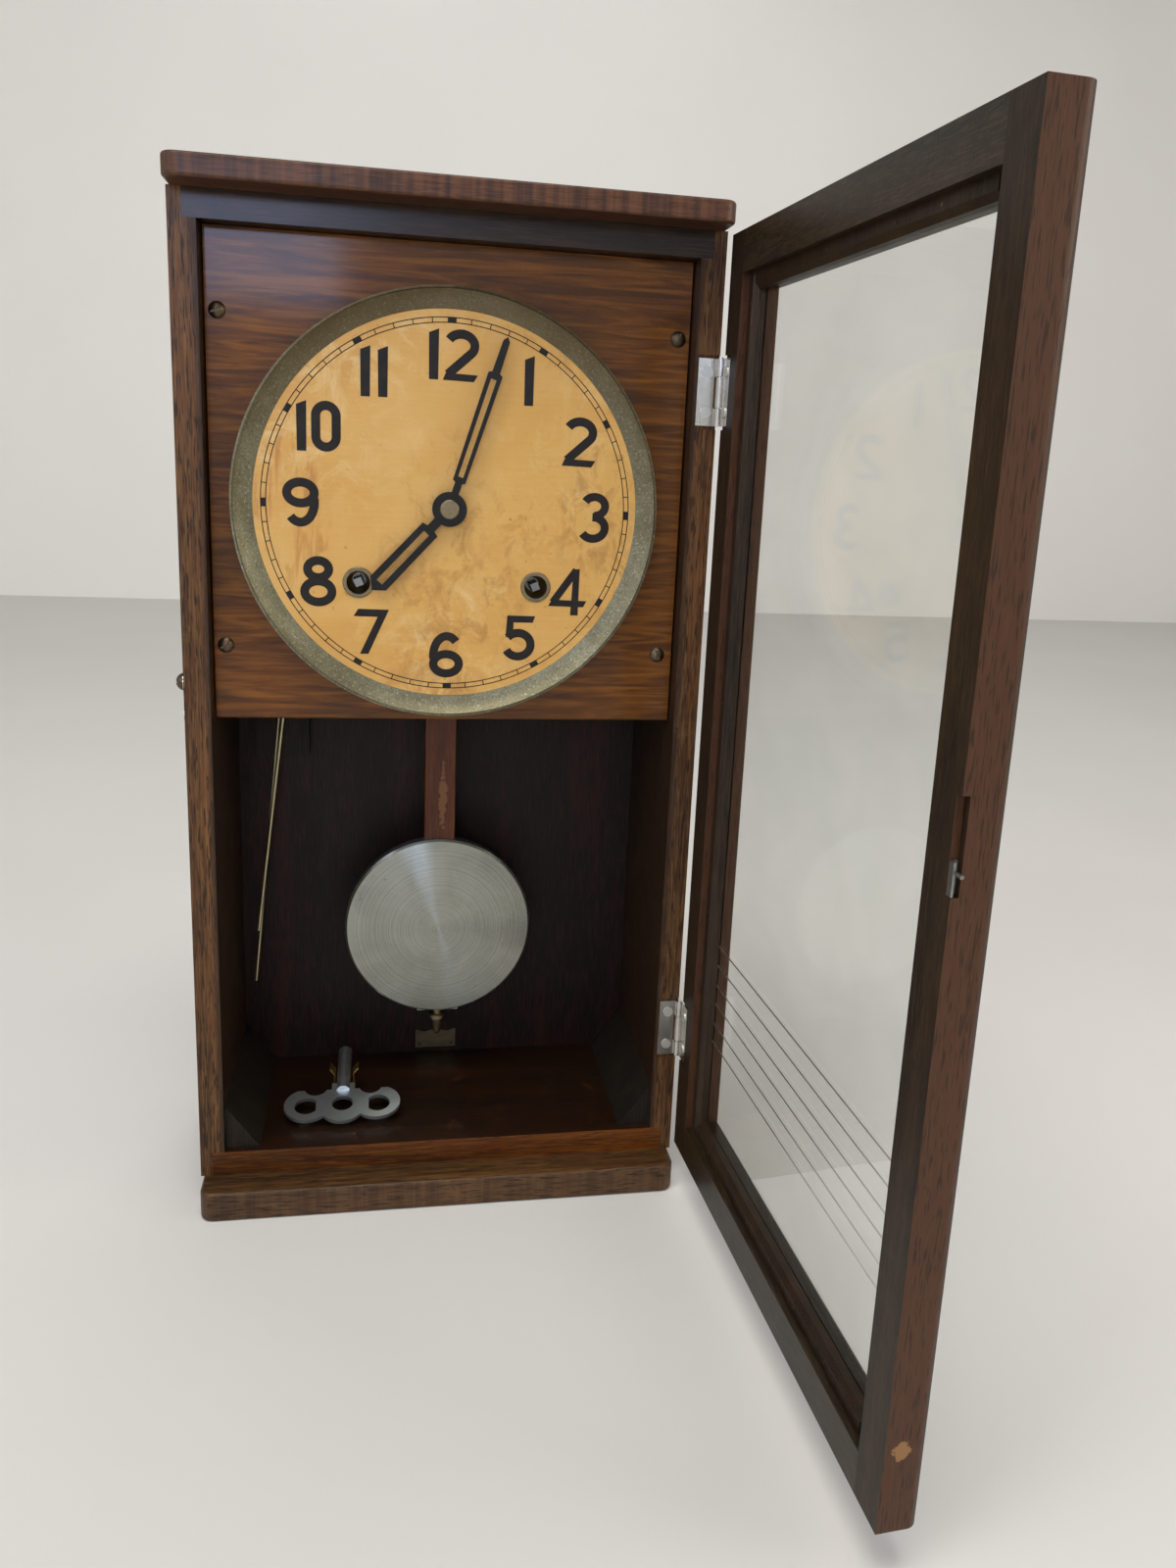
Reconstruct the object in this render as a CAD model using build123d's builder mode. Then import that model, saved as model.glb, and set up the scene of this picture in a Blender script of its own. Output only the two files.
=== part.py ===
"""Schoolhouse wall clock: box case with an open glazed door, pendulum, gong and a two-train movement.

Millimetres, +X to the viewer's right, +Y into the case (away from the viewer), +Z up.
The origin is the centre of the base board's underside.
"""
import os
from math import atan2, cos, degrees, hypot, radians, sin

from build123d import *

os.makedirs("parts", exist_ok=True)

# ---------------------------------------------------------------- case
case_width = 260.0
side_thickness = 12.6
case_front = -45.0
case_back = 63.0
base_thickness = 16.2
base_width = 257.4
base_front = -63.0
case_top_z = 513.8
cap_thickness = 10.4
cap_width = 258.8
cap_front = -65.0
top_board = 13.0
floor_board = 13.6
back_thickness = 6.0
lap = side_thickness / 2
half_width = case_width / 2
inner_x = half_width - side_thickness
lap_x = half_width - lap
floor_z = base_thickness + floor_board
ceiling_z = case_top_z - top_board
back_face = case_back - back_thickness

# ---------------------------------------------------------------- dial
dial_x = -2.0
dial_z = 375.8
panel_front = -33.0
panel_thickness = 8.0
panel_back = panel_front + panel_thickness
panel_bottom = 267.4
panel_gap = 0.8
movement_hole = 72.0
bezel_outer = 104.6
bezel_inner = 94.4
bezel_front = -43.5
dial_front = -38.5
dial_thickness = 0.6
winding_dx = 44.3
winding_dz = -37.6
winding_z = dial_z + winding_dz

# ---------------------------------------------------------------- door, drawn at its open rest angle
hinge_x = 130.3
hinge_y = -46.0
door_angle = 93.3
door_gap = 1.0
door_edge = 3.1
door_far = 261.5
door_low = 22.7
door_high = 511.6
door_thickness = 17.8
stile_back = 17.5
stile_lip = 24.0
latch_back = 18.2
latch_lip = 24.7
low_rail_back = 18.8
low_rail_lip = 25.3
high_rail_back = 19.5
high_rail_lip = 26.0
rebate_depth = 12.3
bead_width = 7.6
bead_low = 3.8
glass_thickness = 2.5
hinge_height = 32.5
hinge_bottoms = (76.2, 422.0)
knuckle_radius = 1.95
pin_radius = 0.9
running = 0.05

# ---------------------------------------------------------------- movement
plate_thickness = 1.8
front_plate = -21.0
back_plate = 15.0
plate_inside = front_plate + plate_thickness
plate_half = 66.0
plate_low = dial_z - 75.0
plate_high = dial_z + 50.0
pivot = 0.8
arbor_radius = 1.5
anchor_dz = 43.4
escape_dz = 23.2
pendulum_y = 22.5
anchor_z = dial_z + anchor_dz
bob_radius = 54.0
bob_z = 130.4
rod_width = 17.7
rod_thickness = 4.0


def facing(y):
    """Plane at depth y that faces the viewer: local x is +X and local y is +Z."""
    return Plane.XZ.offset(-y)


def slab(x0, x1, y0, y1, z0, z1, mode=Mode.ADD):
    """Rectangular block between two corners."""
    with Locations(((x0 + x1) / 2, (y0 + y1) / 2, (z0 + z1) / 2)):
        Box(x1 - x0, y1 - y0, z1 - z0, mode=mode)


def disc(x, z, radius, y0, y1, mode=Mode.ADD):
    """Round bar or hole along Y from y0 back to y1."""
    with BuildSketch(facing(y1)) as circle:
        with Locations((x, z)):
            Circle(radius)
    extrude(circle.sketch, amount=y1 - y0, mode=mode)


def plate(points, y0, y1, mode=Mode.ADD):
    """Flat piece with a straight-sided outline in X and Z, from y0 back to y1."""
    with BuildSketch(facing(y1)) as outline:
        Polygon(*points, align=None)
    extrude(outline.sketch, amount=y1 - y0, mode=mode)


def around(x, z, radius, angle):
    """Point at a radius about a centre, at an angle counted from +X towards +Z."""
    return x + radius * cos(radians(angle)), z + radius * sin(radians(angle))


def gear_points(x, z, teeth, module, phase, addendum, dedendum, fill):
    """Outline of a spur gear whose first tooth points along phase."""
    pitch_radius = teeth * module / 2
    tooth = 360 / teeth
    levels = (
        (pitch_radius - dedendum * module, fill * 0.56),
        (pitch_radius, fill * 0.5),
        (pitch_radius + addendum * module, fill * 0.18),
    )
    points = []
    for index in range(teeth):
        middle = phase + index * tooth
        for radius, half in levels:
            points.append(around(x, z, radius, middle - half * tooth))
        for radius, half in reversed(levels):
            points.append(around(x, z, radius, middle + half * tooth))
    return points


def wheel(x, z, teeth, module, phase, y0, y1, spokes=5):
    """Brass wheel with its teeth and crossed-out spokes."""
    plate(gear_points(x, z, teeth, module, phase, 0.85, 1.2, 0.42), y0, y1)
    rim = teeth * module / 2 - 1.2 * module - 2.6
    hub = 4.0
    hole = (rim - hub) / 2 * 0.82
    if spokes:
        for index in range(spokes):
            hx, hz = around(x, z, (rim + hub) / 2, phase + 360 / spokes * (index + 0.5))
            disc(hx, hz, hole, y0, y1, mode=Mode.SUBTRACT)


def pinion(x, z, teeth, module, phase, y0, y1):
    """Steel pinion cut solid with its arbor."""
    plate(gear_points(x, z, teeth, module, phase, 0.55, 1.15, 0.34), y0, y1)


def arbor(x, z, y0=plate_inside + 0.2, y1=back_plate - 0.2, radius=arbor_radius):
    """Steel arbor between the plates with a thinner pivot at each end."""
    disc(x, z, radius, y0, y1)
    disc(x, z, pivot, front_plate - 0.3, back_plate + plate_thickness + 0.3)


def facing_pair(direction, teeth):
    """Phase of a wheel whose gap faces the partner that lies along direction."""
    return direction + 180 / teeth


def direction(x0, z0, x1, z1):
    """Angle from one centre to another."""
    return degrees(atan2(z1 - z0, x1 - x0))


def crossing(xa, za, ra, xb, zb, rb, side):
    """Centre at distance ra from a and rb from b, on the chosen side of the line a to b."""
    span = hypot(xb - xa, zb - za)
    along = (ra * ra - rb * rb + span * span) / (2 * span)
    across = side * (ra * ra - along * along) ** 0.5
    ux, uz = (xb - xa) / span, (zb - za) / span
    return xa + along * ux - across * uz, za + along * uz + across * ux


# ---------------------------------------------------------------- gear layout
great_teeth, great_module = 72, 0.8
second_pinion, second_teeth, second_module = 18, 54, 0.65
centre_pinion, centre_teeth, centre_module = 18, 84, 0.5
third_pinion, third_teeth, third_module = 8, 80, 0.45
escape_pinion, escape_teeth, escape_radius = 8, 32, 15.0
great_reach = (great_teeth + second_pinion) * great_module / 2
second_reach = (second_teeth + centre_pinion) * second_module / 2
time_x = dial_x + winding_dx
strike_x = dial_x - winding_dx
second_x, second_z = crossing(time_x, winding_z, great_reach, dial_x, dial_z, second_reach, -1)
escape_z = dial_z + escape_dz
third_reach = (centre_teeth + third_pinion) * centre_module / 2
escape_reach = (third_teeth + escape_pinion) * third_module / 2
third_x, third_z = crossing(dial_x, dial_z, third_reach, dial_x, escape_z, escape_reach, -1)
great_phase = direction(time_x, winding_z, second_x, second_z)
second_pinion_phase = facing_pair(great_phase + 180, second_pinion)
second_phase = direction(second_x, second_z, dial_x, dial_z)
centre_pinion_phase = facing_pair(second_phase + 180, centre_pinion)
centre_phase = direction(dial_x, dial_z, third_x, third_z)
third_pinion_phase = facing_pair(centre_phase + 180, third_pinion)
third_phase = direction(third_x, third_z, dial_x, escape_z)
escape_pinion_phase = facing_pair(third_phase + 180, escape_pinion)

# Depths of the going train, from the front plate back.
ratchet_y = (3.2, 4.7)
great_y = (1.0, 3.0)
spring_y = (-14.0, -1.0)
second_pinion_y = (-1.0, 5.0)
second_y = (7.4, 8.6)
centre_pinion_y = (5.5, 10.0)
centre_y = (-6.0, -4.8)
third_pinion_y = (-8.0, -3.0)
third_y = (-11.5, -10.5)
escape_pinion_y = (-13.5, -8.5)
escape_y = (10.6, 11.8)

# Strike train: pin wheel, locking wheel and fly.
pin_pinion, pin_teeth, pin_module = 18, 60, 0.5
lock_pinion, lock_teeth, lock_module = 10, 50, 0.45
fly_pinion = 8
pin_direction = 90.0
pin_x, pin_z = around(strike_x, winding_z, great_reach, pin_direction)
lock_reach = (pin_teeth + lock_pinion) * pin_module / 2
lock_x, lock_z = around(pin_x, pin_z, lock_reach, 60.0)
fly_reach = (lock_teeth + fly_pinion) * lock_module / 2
fly_x, fly_z = around(lock_x, lock_z, fly_reach, 60.0)

# ================================================================ case woodwork
for name, sign in (("left_side", -1), ("right_side", 1)):
    outer, inner = sign * half_width, sign * inner_x
    with BuildPart() as side:
        with BuildSketch(Plane.XY.offset(base_thickness)):
            with Locations((sign * (half_width - lap), (case_front + case_back) / 2)):
                Rectangle(side_thickness, case_back - case_front)
        extrude(amount=case_top_z - base_thickness)
        rebates = (
            (case_front, back_face, base_thickness, floor_z),
            (case_front, back_face, ceiling_z, case_top_z),
            (back_face, case_back, base_thickness, case_top_z),
        )
        for y0, y1, z0, z1 in rebates:
            slab(*sorted((sign * lap_x, inner)), y0, y1, z0, z1, mode=Mode.SUBTRACT)
        if sign > 0:
            for low in hinge_bottoms:
                slab(118.4, outer, case_front, case_front + 1.0, low - 1.8, low + 34.0, mode=Mode.SUBTRACT)
    side.part.label = name
    export_step(side.part, "parts/" + name + ".step")

with BuildPart() as case_floor:
    slab(-lap_x, lap_x, case_front, back_face, base_thickness, floor_z)
case_floor.part.label = "case_floor"
export_step(case_floor.part, "parts/case_floor.step")

with BuildPart() as case_top:
    slab(-lap_x, lap_x, case_front, back_face, ceiling_z, case_top_z)
case_top.part.label = "case_top"
export_step(case_top.part, "parts/case_top.step")

for name, width, front, z0, z1 in (
    ("base_board", base_width, base_front, 0.0, base_thickness),
    ("top_cap", cap_width, cap_front, case_top_z, case_top_z + cap_thickness),
):
    with BuildPart() as board:
        slab(-width / 2, width / 2, front, case_back, z0, z1)
        corners = board.edges().filter_by(Axis.Z).group_by(Axis.Y)[0]
        fillet(corners, 7.0)
        fillet(board.faces().group_by(Axis.Z)[-1].edges().group_by(Axis.Y)[0], 1.6)
        fillet(board.faces().group_by(Axis.Z)[0].edges().group_by(Axis.Y)[0], 1.6)
    board.part.label = name
    export_step(board.part, "parts/" + name + ".step")

# The back panel has a recessed keyhole plate near its top.
hanger_z = 486.0
hanger_plate_thickness = 1.5
hanger_half = 17.0
hanger_bore = 4.0
slot_half = 2.2
slot_rise = 9.0
with BuildPart() as back_panel:
    slab(-lap_x, lap_x, back_face, case_back, base_thickness, case_top_z)
    pocket = case_back - hanger_plate_thickness
    slab(-hanger_half, hanger_half, pocket, case_back, hanger_z - 12, hanger_z + 20, mode=Mode.SUBTRACT)
    slab(-6.0, 6.0, back_face, pocket, hanger_z - 6, hanger_z + 14, mode=Mode.SUBTRACT)
back_panel.part.label = "back_panel"
export_step(back_panel.part, "parts/back_panel.step")

with BuildPart() as hanger_plate:
    slab(-hanger_half + 0.2, hanger_half - 0.2, pocket, case_back, hanger_z - 11.8, hanger_z + 19.8)
    disc(0, hanger_z, hanger_bore, pocket, case_back, mode=Mode.SUBTRACT)
    slab(-slot_half, slot_half, pocket, case_back, hanger_z, hanger_z + slot_rise, mode=Mode.SUBTRACT)
    disc(0, hanger_z + slot_rise, slot_half, pocket, case_back, mode=Mode.SUBTRACT)
hanger_plate.part.label = "hanger_plate"
export_step(hanger_plate.part, "parts/hanger_plate.step")

# Triangular glue blocks stiffen the long corners, two battens carry the dial panel and a block the gong.
batten_width = 12.0
gong_block_x = (-107.0, -77.0)
gong_block_z = (228.0, 330.0)
gong_block_front = back_face - 8.0
glue_front = -41.0
glue_run = 18.0
glue_rise = 25.0
with BuildPart() as glue_blocks:
    for sign in (-1, 1):
        wall = sign * inner_x
        toe = sign * (inner_x - glue_run)
        plate([(wall, floor_z), (toe, floor_z), (wall, floor_z + glue_rise)], glue_front, back_face - 1)
        plate([(wall, ceiling_z), (toe, ceiling_z), (wall, ceiling_z - 18)], 0, back_face - 1)
        edges = sorted((wall, sign * (inner_x - batten_width)))
        slab(*edges, panel_back, panel_back + 14, 288, ceiling_z - 18.4)
    slab(*gong_block_x, gong_block_front, back_face, *gong_block_z)
glue_blocks.part.label = "glue_blocks"
export_step(glue_blocks.part, "parts/glue_blocks.step")


panel_half = inner_x - panel_gap
with BuildPart() as dial_panel:
    slab(-panel_half, panel_half, panel_front, panel_back, panel_bottom, ceiling_z - 0.4)
    lower = dial_panel.faces().group_by(Axis.Z)[0].edges().filter_by(Axis.X)
    fillet(lower, 1.4)
    disc(dial_x, dial_z, movement_hole, panel_front, panel_back, mode=Mode.SUBTRACT)
dial_panel.part.label = "dial_panel"
export_step(dial_panel.part, "parts/dial_panel.step")

panel_screw_places = ((-111.0, 463.2), (110.9, 463.6), (-111.0, 304.8), (109.0, 303.4))

# ================================================================ dial
pan_skin = 0.7
with BuildPart() as dial_pan:
    with BuildSketch(Plane(origin=(dial_x, 0, dial_z), x_dir=(1, 0, 0), z_dir=(0, 0, 1))) as profile:
        seat = dial_front + dial_thickness
        with BuildLine():
            Polyline(
                (bezel_outer, panel_front),
                (bezel_outer, bezel_front + 1.6),
            )
            RadiusArc((bezel_outer, bezel_front + 1.6), (bezel_outer - 1.6, bezel_front), -1.6)
            ThreePointArc(
                (bezel_outer - 1.6, bezel_front),
                (bezel_outer - 5.6, bezel_front + 3.2),
                (bezel_inner, dial_front),
            )
            Polyline(
                (bezel_inner, dial_front),
                (bezel_inner, seat),
                (bezel_inner - 6.0, seat),
                (bezel_inner - 6.0, seat + pan_skin),
                (bezel_inner + 0.6, seat + pan_skin),
                (bezel_outer - pan_skin, bezel_front + 2.6),
                (bezel_outer - pan_skin, panel_front - pan_skin),
                (bezel_inner + 2.0, panel_front - pan_skin),
                (bezel_inner + 2.0, panel_front),
                (bezel_outer, panel_front),
            )
        make_face()
    revolve(profile.sketch, axis=Axis((dial_x, 0, dial_z), (0, 1, 0)))
dial_pan.part.label = "dial_pan"
export_step(dial_pan.part, "parts/dial_pan.step")

eyelet_bore = 5.8
eyelet_tube = 6.7
eyelet_rim = 7.7
with BuildPart() as dial_plate:
    disc(dial_x, dial_z, bezel_inner - 0.1, dial_front, dial_front + dial_thickness)
    disc(dial_x, dial_z, 5.4, dial_front, dial_front + dial_thickness, mode=Mode.SUBTRACT)
    for sign in (-1, 1):
        hole_x = dial_x + sign * winding_dx
        disc(hole_x, winding_z, eyelet_tube, dial_front, dial_front + dial_thickness, mode=Mode.SUBTRACT)
dial_plate.part.label = "dial_plate"
export_step(dial_plate.part, "parts/dial_plate.step")

with BuildPart() as winding_eyelets:
    for sign in (-1, 1):
        hole_x = dial_x + sign * winding_dx
        disc(hole_x, winding_z, eyelet_rim, dial_front - 0.7, dial_front)
        disc(hole_x, winding_z, eyelet_tube, dial_front, dial_front + 1.6)
    fillet(winding_eyelets.edges().filter_by(GeomType.CIRCLE).group_by(Axis.Y)[0], 0.6)
    for sign in (-1, 1):
        hole_x = dial_x + sign * winding_dx
        disc(hole_x, winding_z, eyelet_bore, dial_front - 0.7, dial_front + 1.6, mode=Mode.SUBTRACT)
winding_eyelets.part.label = "winding_eyelets"
export_step(winding_eyelets.part, "parts/winding_eyelets.step")

# ================================================================ door
swing = radians(door_angle)
door_dir = (-cos(swing), -sin(swing), 0)
door_inward = (-sin(swing), cos(swing), 0)
door_plane = Plane(origin=(hinge_x, hinge_y, 0), x_dir=door_dir, z_dir=door_inward)


def door_at(depth):
    """Door plane at a depth from the door's back face towards its front."""
    return door_plane.offset(-door_gap - depth)


def door_block(u0, u1, d0, d1, z0, z1, mode=Mode.ADD):
    """Block in the door: u across from the hinge axis, d from back face to front face, z up."""
    with BuildSketch(door_at(d1)) as face:
        with Locations(((u0 + u1) / 2, (z0 + z1) / 2)):
            Rectangle(u1 - u0, z1 - z0)
    extrude(face.sketch, amount=d1 - d0, mode=mode)


def door_disc(u, z, radius, d0, d1, mode=Mode.ADD):
    """Round bar through the door's thickness."""
    with BuildSketch(door_at(d1)) as face:
        with Locations((u, z)):
            Circle(radius)
    extrude(face.sketch, amount=d1 - d0, mode=mode)


near_back = door_edge + stile_back
near_lip = door_edge + stile_lip
far_back = door_far - latch_back
far_lip = door_far - latch_lip
low_back = door_low + low_rail_back
low_lip = door_low + low_rail_lip
high_back = door_high - high_rail_back
high_lip = door_high - high_rail_lip
front_face = door_thickness
leaf_thickness = 0.95
leaf_reach = 11.0
keeper_low, keeper_split, keeper_high = 271.0, 283.0, 305.0

with BuildPart() as door_hinge_stile:
    door_block(door_edge, near_lip, 0, front_face, door_low, door_high)
    front_edge = door_hinge_stile.edges().filter_by(Axis.Z).sort_by_distance(
        door_at(front_face).from_local_coords((door_edge, 260, 0)))[0]
    fillet(front_edge, 4.0)
    door_block(near_back, near_lip + 1, 0, rebate_depth, door_low, door_high, mode=Mode.SUBTRACT)
    for low in hinge_bottoms:
        door_block(door_edge - 1, leaf_reach + 0.6, 0, leaf_thickness, low - 1.8, low + 34.0,
                   mode=Mode.SUBTRACT)
door_hinge_stile.part.label = "door_hinge_stile"
export_step(door_hinge_stile.part, "parts/door_hinge_stile.step")

with BuildPart() as door_latch_stile:
    door_block(far_lip, door_far, 0, front_face, door_low, door_high)
    front_edge = door_latch_stile.edges().filter_by(Axis.Z).sort_by_distance(
        door_at(front_face).from_local_coords((door_far, 260, 0)))[0]
    fillet(front_edge, 5.0)
    door_block(far_lip - 1, far_back, 0, rebate_depth, door_low, door_high, mode=Mode.SUBTRACT)
    door_block(door_far - 3.2, door_far + 1, 0, 3.0, keeper_low, keeper_high, mode=Mode.SUBTRACT)
door_latch_stile.part.label = "door_latch_stile"
export_step(door_latch_stile.part, "parts/door_latch_stile.step")

for name, z0, z1, rebate in (
    ("door_top_rail", high_lip, door_high, (high_lip - 1, high_back)),
    ("door_bottom_rail", door_low, low_lip, (low_back, low_lip + 1)),
):
    with BuildPart() as rail:
        door_block(near_back, far_back, 0, front_face, z0, z1)
        door_block(near_back - 1, far_back + 1, 0, rebate_depth, *rebate, mode=Mode.SUBTRACT)
        for u0, u1 in ((near_back - 1, near_lip), (far_lip, far_back + 1)):
            door_block(u0, u1, rebate_depth, front_face + 1, z0 - 1, z1 + 1, mode=Mode.SUBTRACT)
    rail.part.label = name
    export_step(rail.part, "parts/" + name + ".step")

glass_front = rebate_depth
glass_back = rebate_depth - glass_thickness
with BuildPart() as door_glass:
    door_block(near_back + 0.4, far_back - 0.4, glass_back, glass_front, low_back + 0.4, high_back - 0.4)
door_glass.part.label = "door_glass"
export_step(door_glass.part, "parts/door_glass.step")

with BuildPart() as glazing_beads:
    lows = (low_back, low_back + bead_width)
    highs = (high_back - bead_width, high_back)
    door_block(near_back, near_back + bead_width, bead_low, glass_back, low_back, high_back)
    door_block(far_back - bead_width, far_back, bead_low, glass_back, low_back, high_back)
    for z0, z1 in (lows, highs):
        door_block(near_back + bead_width + 0.05, far_back - bead_width - 0.05, bead_low, glass_back, z0, z1)
    inner_edges = []
    for u, z in (
        (near_back + bead_width, 260),
        (far_back - bead_width, 260),
        (130, lows[1]),
        (130, highs[0]),
    ):
        spot = door_at(bead_low).from_local_coords((u, z, 0))
        inner_edges.append(glazing_beads.edges().sort_by_distance(spot)[0])
    chamfer(inner_edges, 2.4)
glazing_beads.part.label = "glazing_beads"
export_step(glazing_beads.part, "parts/glazing_beads.step")

# Small nails hold the beads.
nail_radius = 0.7
bead_middle = bead_width / 2 - 0.6
nail_heights = (60.0, 171.6, 285.0, 404.6, 478.0)
nail_spans = (50.0, 110.0, 169.2, 202.1)

with BuildPart() as latch_keeper:
    door_block(door_far - 3.0, door_far - 0.2, 0, 0.9, keeper_low + 0.2, keeper_split)
    door_block(door_far - 3.0, door_far - 2.2, 0.9, 2.8, keeper_low + 0.2, keeper_split)
    pin_plane = Plane(origin=door_at(1.6).from_local_coords((door_far - 2.4, 279, 0)),
                      x_dir=(0, 0, 1), z_dir=door_dir)
    with BuildSketch(pin_plane) as keeper_pin:
        Circle(0.75)
    extrude(keeper_pin.sketch, amount=5.2)
latch_keeper.part.label = "latch_keeper"
export_step(latch_keeper.part, "parts/latch_keeper.step")

# ---------------------------------------------------------------- hinges
knuckle_gap = 0.35
knuckle_low = 8.6
knuckle_high = hinge_height - 8.6


def knuckle(low, start, stop, bore):
    """Rolled knuckle round the hinge pin, between two heights of one hinge."""
    with BuildSketch(Plane.XY.offset(low + start)) as ring:
        with Locations((hinge_x, hinge_y)):
            Circle(knuckle_radius)
    extrude(ring.sketch, amount=stop - start)
    with BuildSketch(Plane.XY.offset(low + start)) as hole:
        with Locations((hinge_x, hinge_y)):
            Circle(bore)
    extrude(hole.sketch, amount=stop - start, mode=Mode.SUBTRACT)


screw_rises = (6.5, 26.0)
screw_inset = 5.6
screw_head = 2.75
with BuildPart() as hinge_case_leaves:
    for low in hinge_bottoms:
        slab(hinge_x - leaf_reach, hinge_x - 0.2, case_front, case_front + leaf_thickness,
             low, low + hinge_height)
        slab(hinge_x - 2.6, hinge_x + 2, case_front - 1, case_front + 1, low + knuckle_low,
             low + knuckle_high, mode=Mode.SUBTRACT)
        knuckle(low, 0, knuckle_low, pin_radius)
        knuckle(low, knuckle_high, hinge_height, pin_radius)
        for rise in screw_rises:
            disc(hinge_x - screw_inset - 0.6, low + rise, 1.5, case_front, case_front + 2, mode=Mode.SUBTRACT)
hinge_case_leaves.part.label = "hinge_case_leaves"
export_step(hinge_case_leaves.part, "parts/hinge_case_leaves.step")

with BuildPart() as hinge_pins:
    for low in hinge_bottoms:
        with BuildSketch(Plane.XY.offset(low)) as pin_circle:
            with Locations((hinge_x, hinge_y)):
                Circle(pin_radius)
        extrude(pin_circle.sketch, amount=hinge_height)
        with BuildSketch(Plane.XY.offset(low + hinge_height)) as head_circle:
            with Locations((hinge_x, hinge_y)):
                Circle(1.5)
        extrude(head_circle.sketch, amount=0.5)
hinge_pins.part.label = "hinge_pins"
export_step(hinge_pins.part, "parts/hinge_pins.step")

with BuildPart() as hinge_door_leaves:
    for low in hinge_bottoms:
        door_block(0.2, leaf_reach, 0, leaf_thickness, low, low + hinge_height)
        door_block(-3, 2.6, -3, 1.2, low - 1, low + knuckle_low + knuckle_gap, mode=Mode.SUBTRACT)
        door_block(-3, 2.6, -3, 1.2, low + knuckle_high - knuckle_gap, low + hinge_height + 1,
                   mode=Mode.SUBTRACT)
        knuckle(low, knuckle_low + knuckle_gap, knuckle_high - knuckle_gap, pin_radius + running)
        for rise in screw_rises:
            door_disc(screw_inset + 0.6, low + rise, 1.5, 0, 2, mode=Mode.SUBTRACT)
hinge_door_leaves.part.label = "hinge_door_leaves"
export_step(hinge_door_leaves.part, "parts/hinge_door_leaves.step")

with BuildPart() as door_fasteners:
    for z in nail_heights:
        door_disc(near_back + bead_middle, z, nail_radius, bead_low - 0.25, glass_back)
        door_disc(far_back - bead_middle, z, nail_radius, bead_low - 0.25, glass_back)
    for u in nail_spans:
        door_disc(u, low_back + bead_middle, nail_radius, bead_low - 0.25, glass_back)
        door_disc(u, high_back - bead_middle, nail_radius, bead_low - 0.25, glass_back)
    for low in hinge_bottoms:
        for rise in screw_rises:
            u, z = screw_inset + 0.6, low + rise
            door_disc(u, z, screw_head, -0.55, 0)
            door_disc(u, z, 1.45, 0, 11)
            for wide, tall in ((3.4, 0.6), (0.6, 3.4)):
                door_block(u - wide / 2, u + wide / 2, -0.6, -0.1, z - tall / 2, z + tall / 2,
                           mode=Mode.SUBTRACT)
door_fasteners.part.label = "door_fasteners"
export_step(door_fasteners.part, "parts/door_fasteners.step")

# ---------------------------------------------------------------- hook on the case's left side
hook_y = -33.0
hook_z = 286.0
hook_reach = 17.1
hook_bore = 1.75
hook_outside = -half_width
side_plane = Plane(origin=(hook_outside - 0.6, 0, 0), x_dir=(0, -1, 0), z_dir=(-1, 0, 0))


def side_disc(y, z, radius, x0, x1, mode=Mode.ADD):
    """Round bar standing out of the case's left side between two distances from it."""
    with BuildSketch(Plane(origin=(hook_outside - x0, 0, 0), x_dir=(0, -1, 0), z_dir=(-1, 0, 0))) as ring:
        with Locations((-y, z)):
            Circle(radius)
    extrude(ring.sketch, amount=x1 - x0, mode=mode)


with BuildPart() as side_hook:
    with BuildSketch(side_plane) as arm:
        with Locations((-hook_y, hook_z)):
            Circle(4.0)
        with Locations((-hook_y, hook_z - hook_reach / 2)):
            Rectangle(3.6, hook_reach)
        with Locations((-hook_y, hook_z - hook_reach)):
            Circle(2.9)
        with Locations((-hook_y - 2.6, hook_z + 5.2)):
            Circle(1.9)
        with Locations((-hook_y, hook_z - hook_reach)):
            Circle(1.15, mode=Mode.SUBTRACT)
        with Locations((-hook_y - 2.0, hook_z - hook_reach)):
            Rectangle(4.0, 2.3, mode=Mode.SUBTRACT)
    extrude(arm.sketch, amount=1.2)
    side_disc(hook_y, hook_z, hook_bore, 0, 3, mode=Mode.SUBTRACT)
side_hook.part.label = "side_hook"
export_step(side_hook.part, "parts/side_hook.step")


# ================================================================ inside the pendulum bay
beat_x = -1.4
beat_low, beat_high = 33.0, 45.0
beat_half = 12.5
beat_front = back_face - 1.0
with BuildPart() as beat_plate:
    with BuildSketch(facing(back_face)) as outline:
        with Locations((beat_x, (beat_low + beat_high) / 2)):
            Rectangle(2 * beat_half, beat_high - beat_low)
        for sign in (-1, 1):
            with Locations((beat_x + sign * beat_half * 0.55, beat_high + 5.2)):
                Circle(6.4, mode=Mode.SUBTRACT)
        with BuildLine():
            Polyline((beat_x - 1.6, beat_high + 1), (beat_x + 1.6, beat_high + 1), (beat_x, beat_high - 4.2),
                     close=True)
        make_face(mode=Mode.SUBTRACT)
    extrude(outline.sketch, amount=1.0)
beat_plate.part.label = "beat_plate"
export_step(beat_plate.part, "parts/beat_plate.step")


# The gong: an iron foot on its block and two steel rods of different length.

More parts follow.
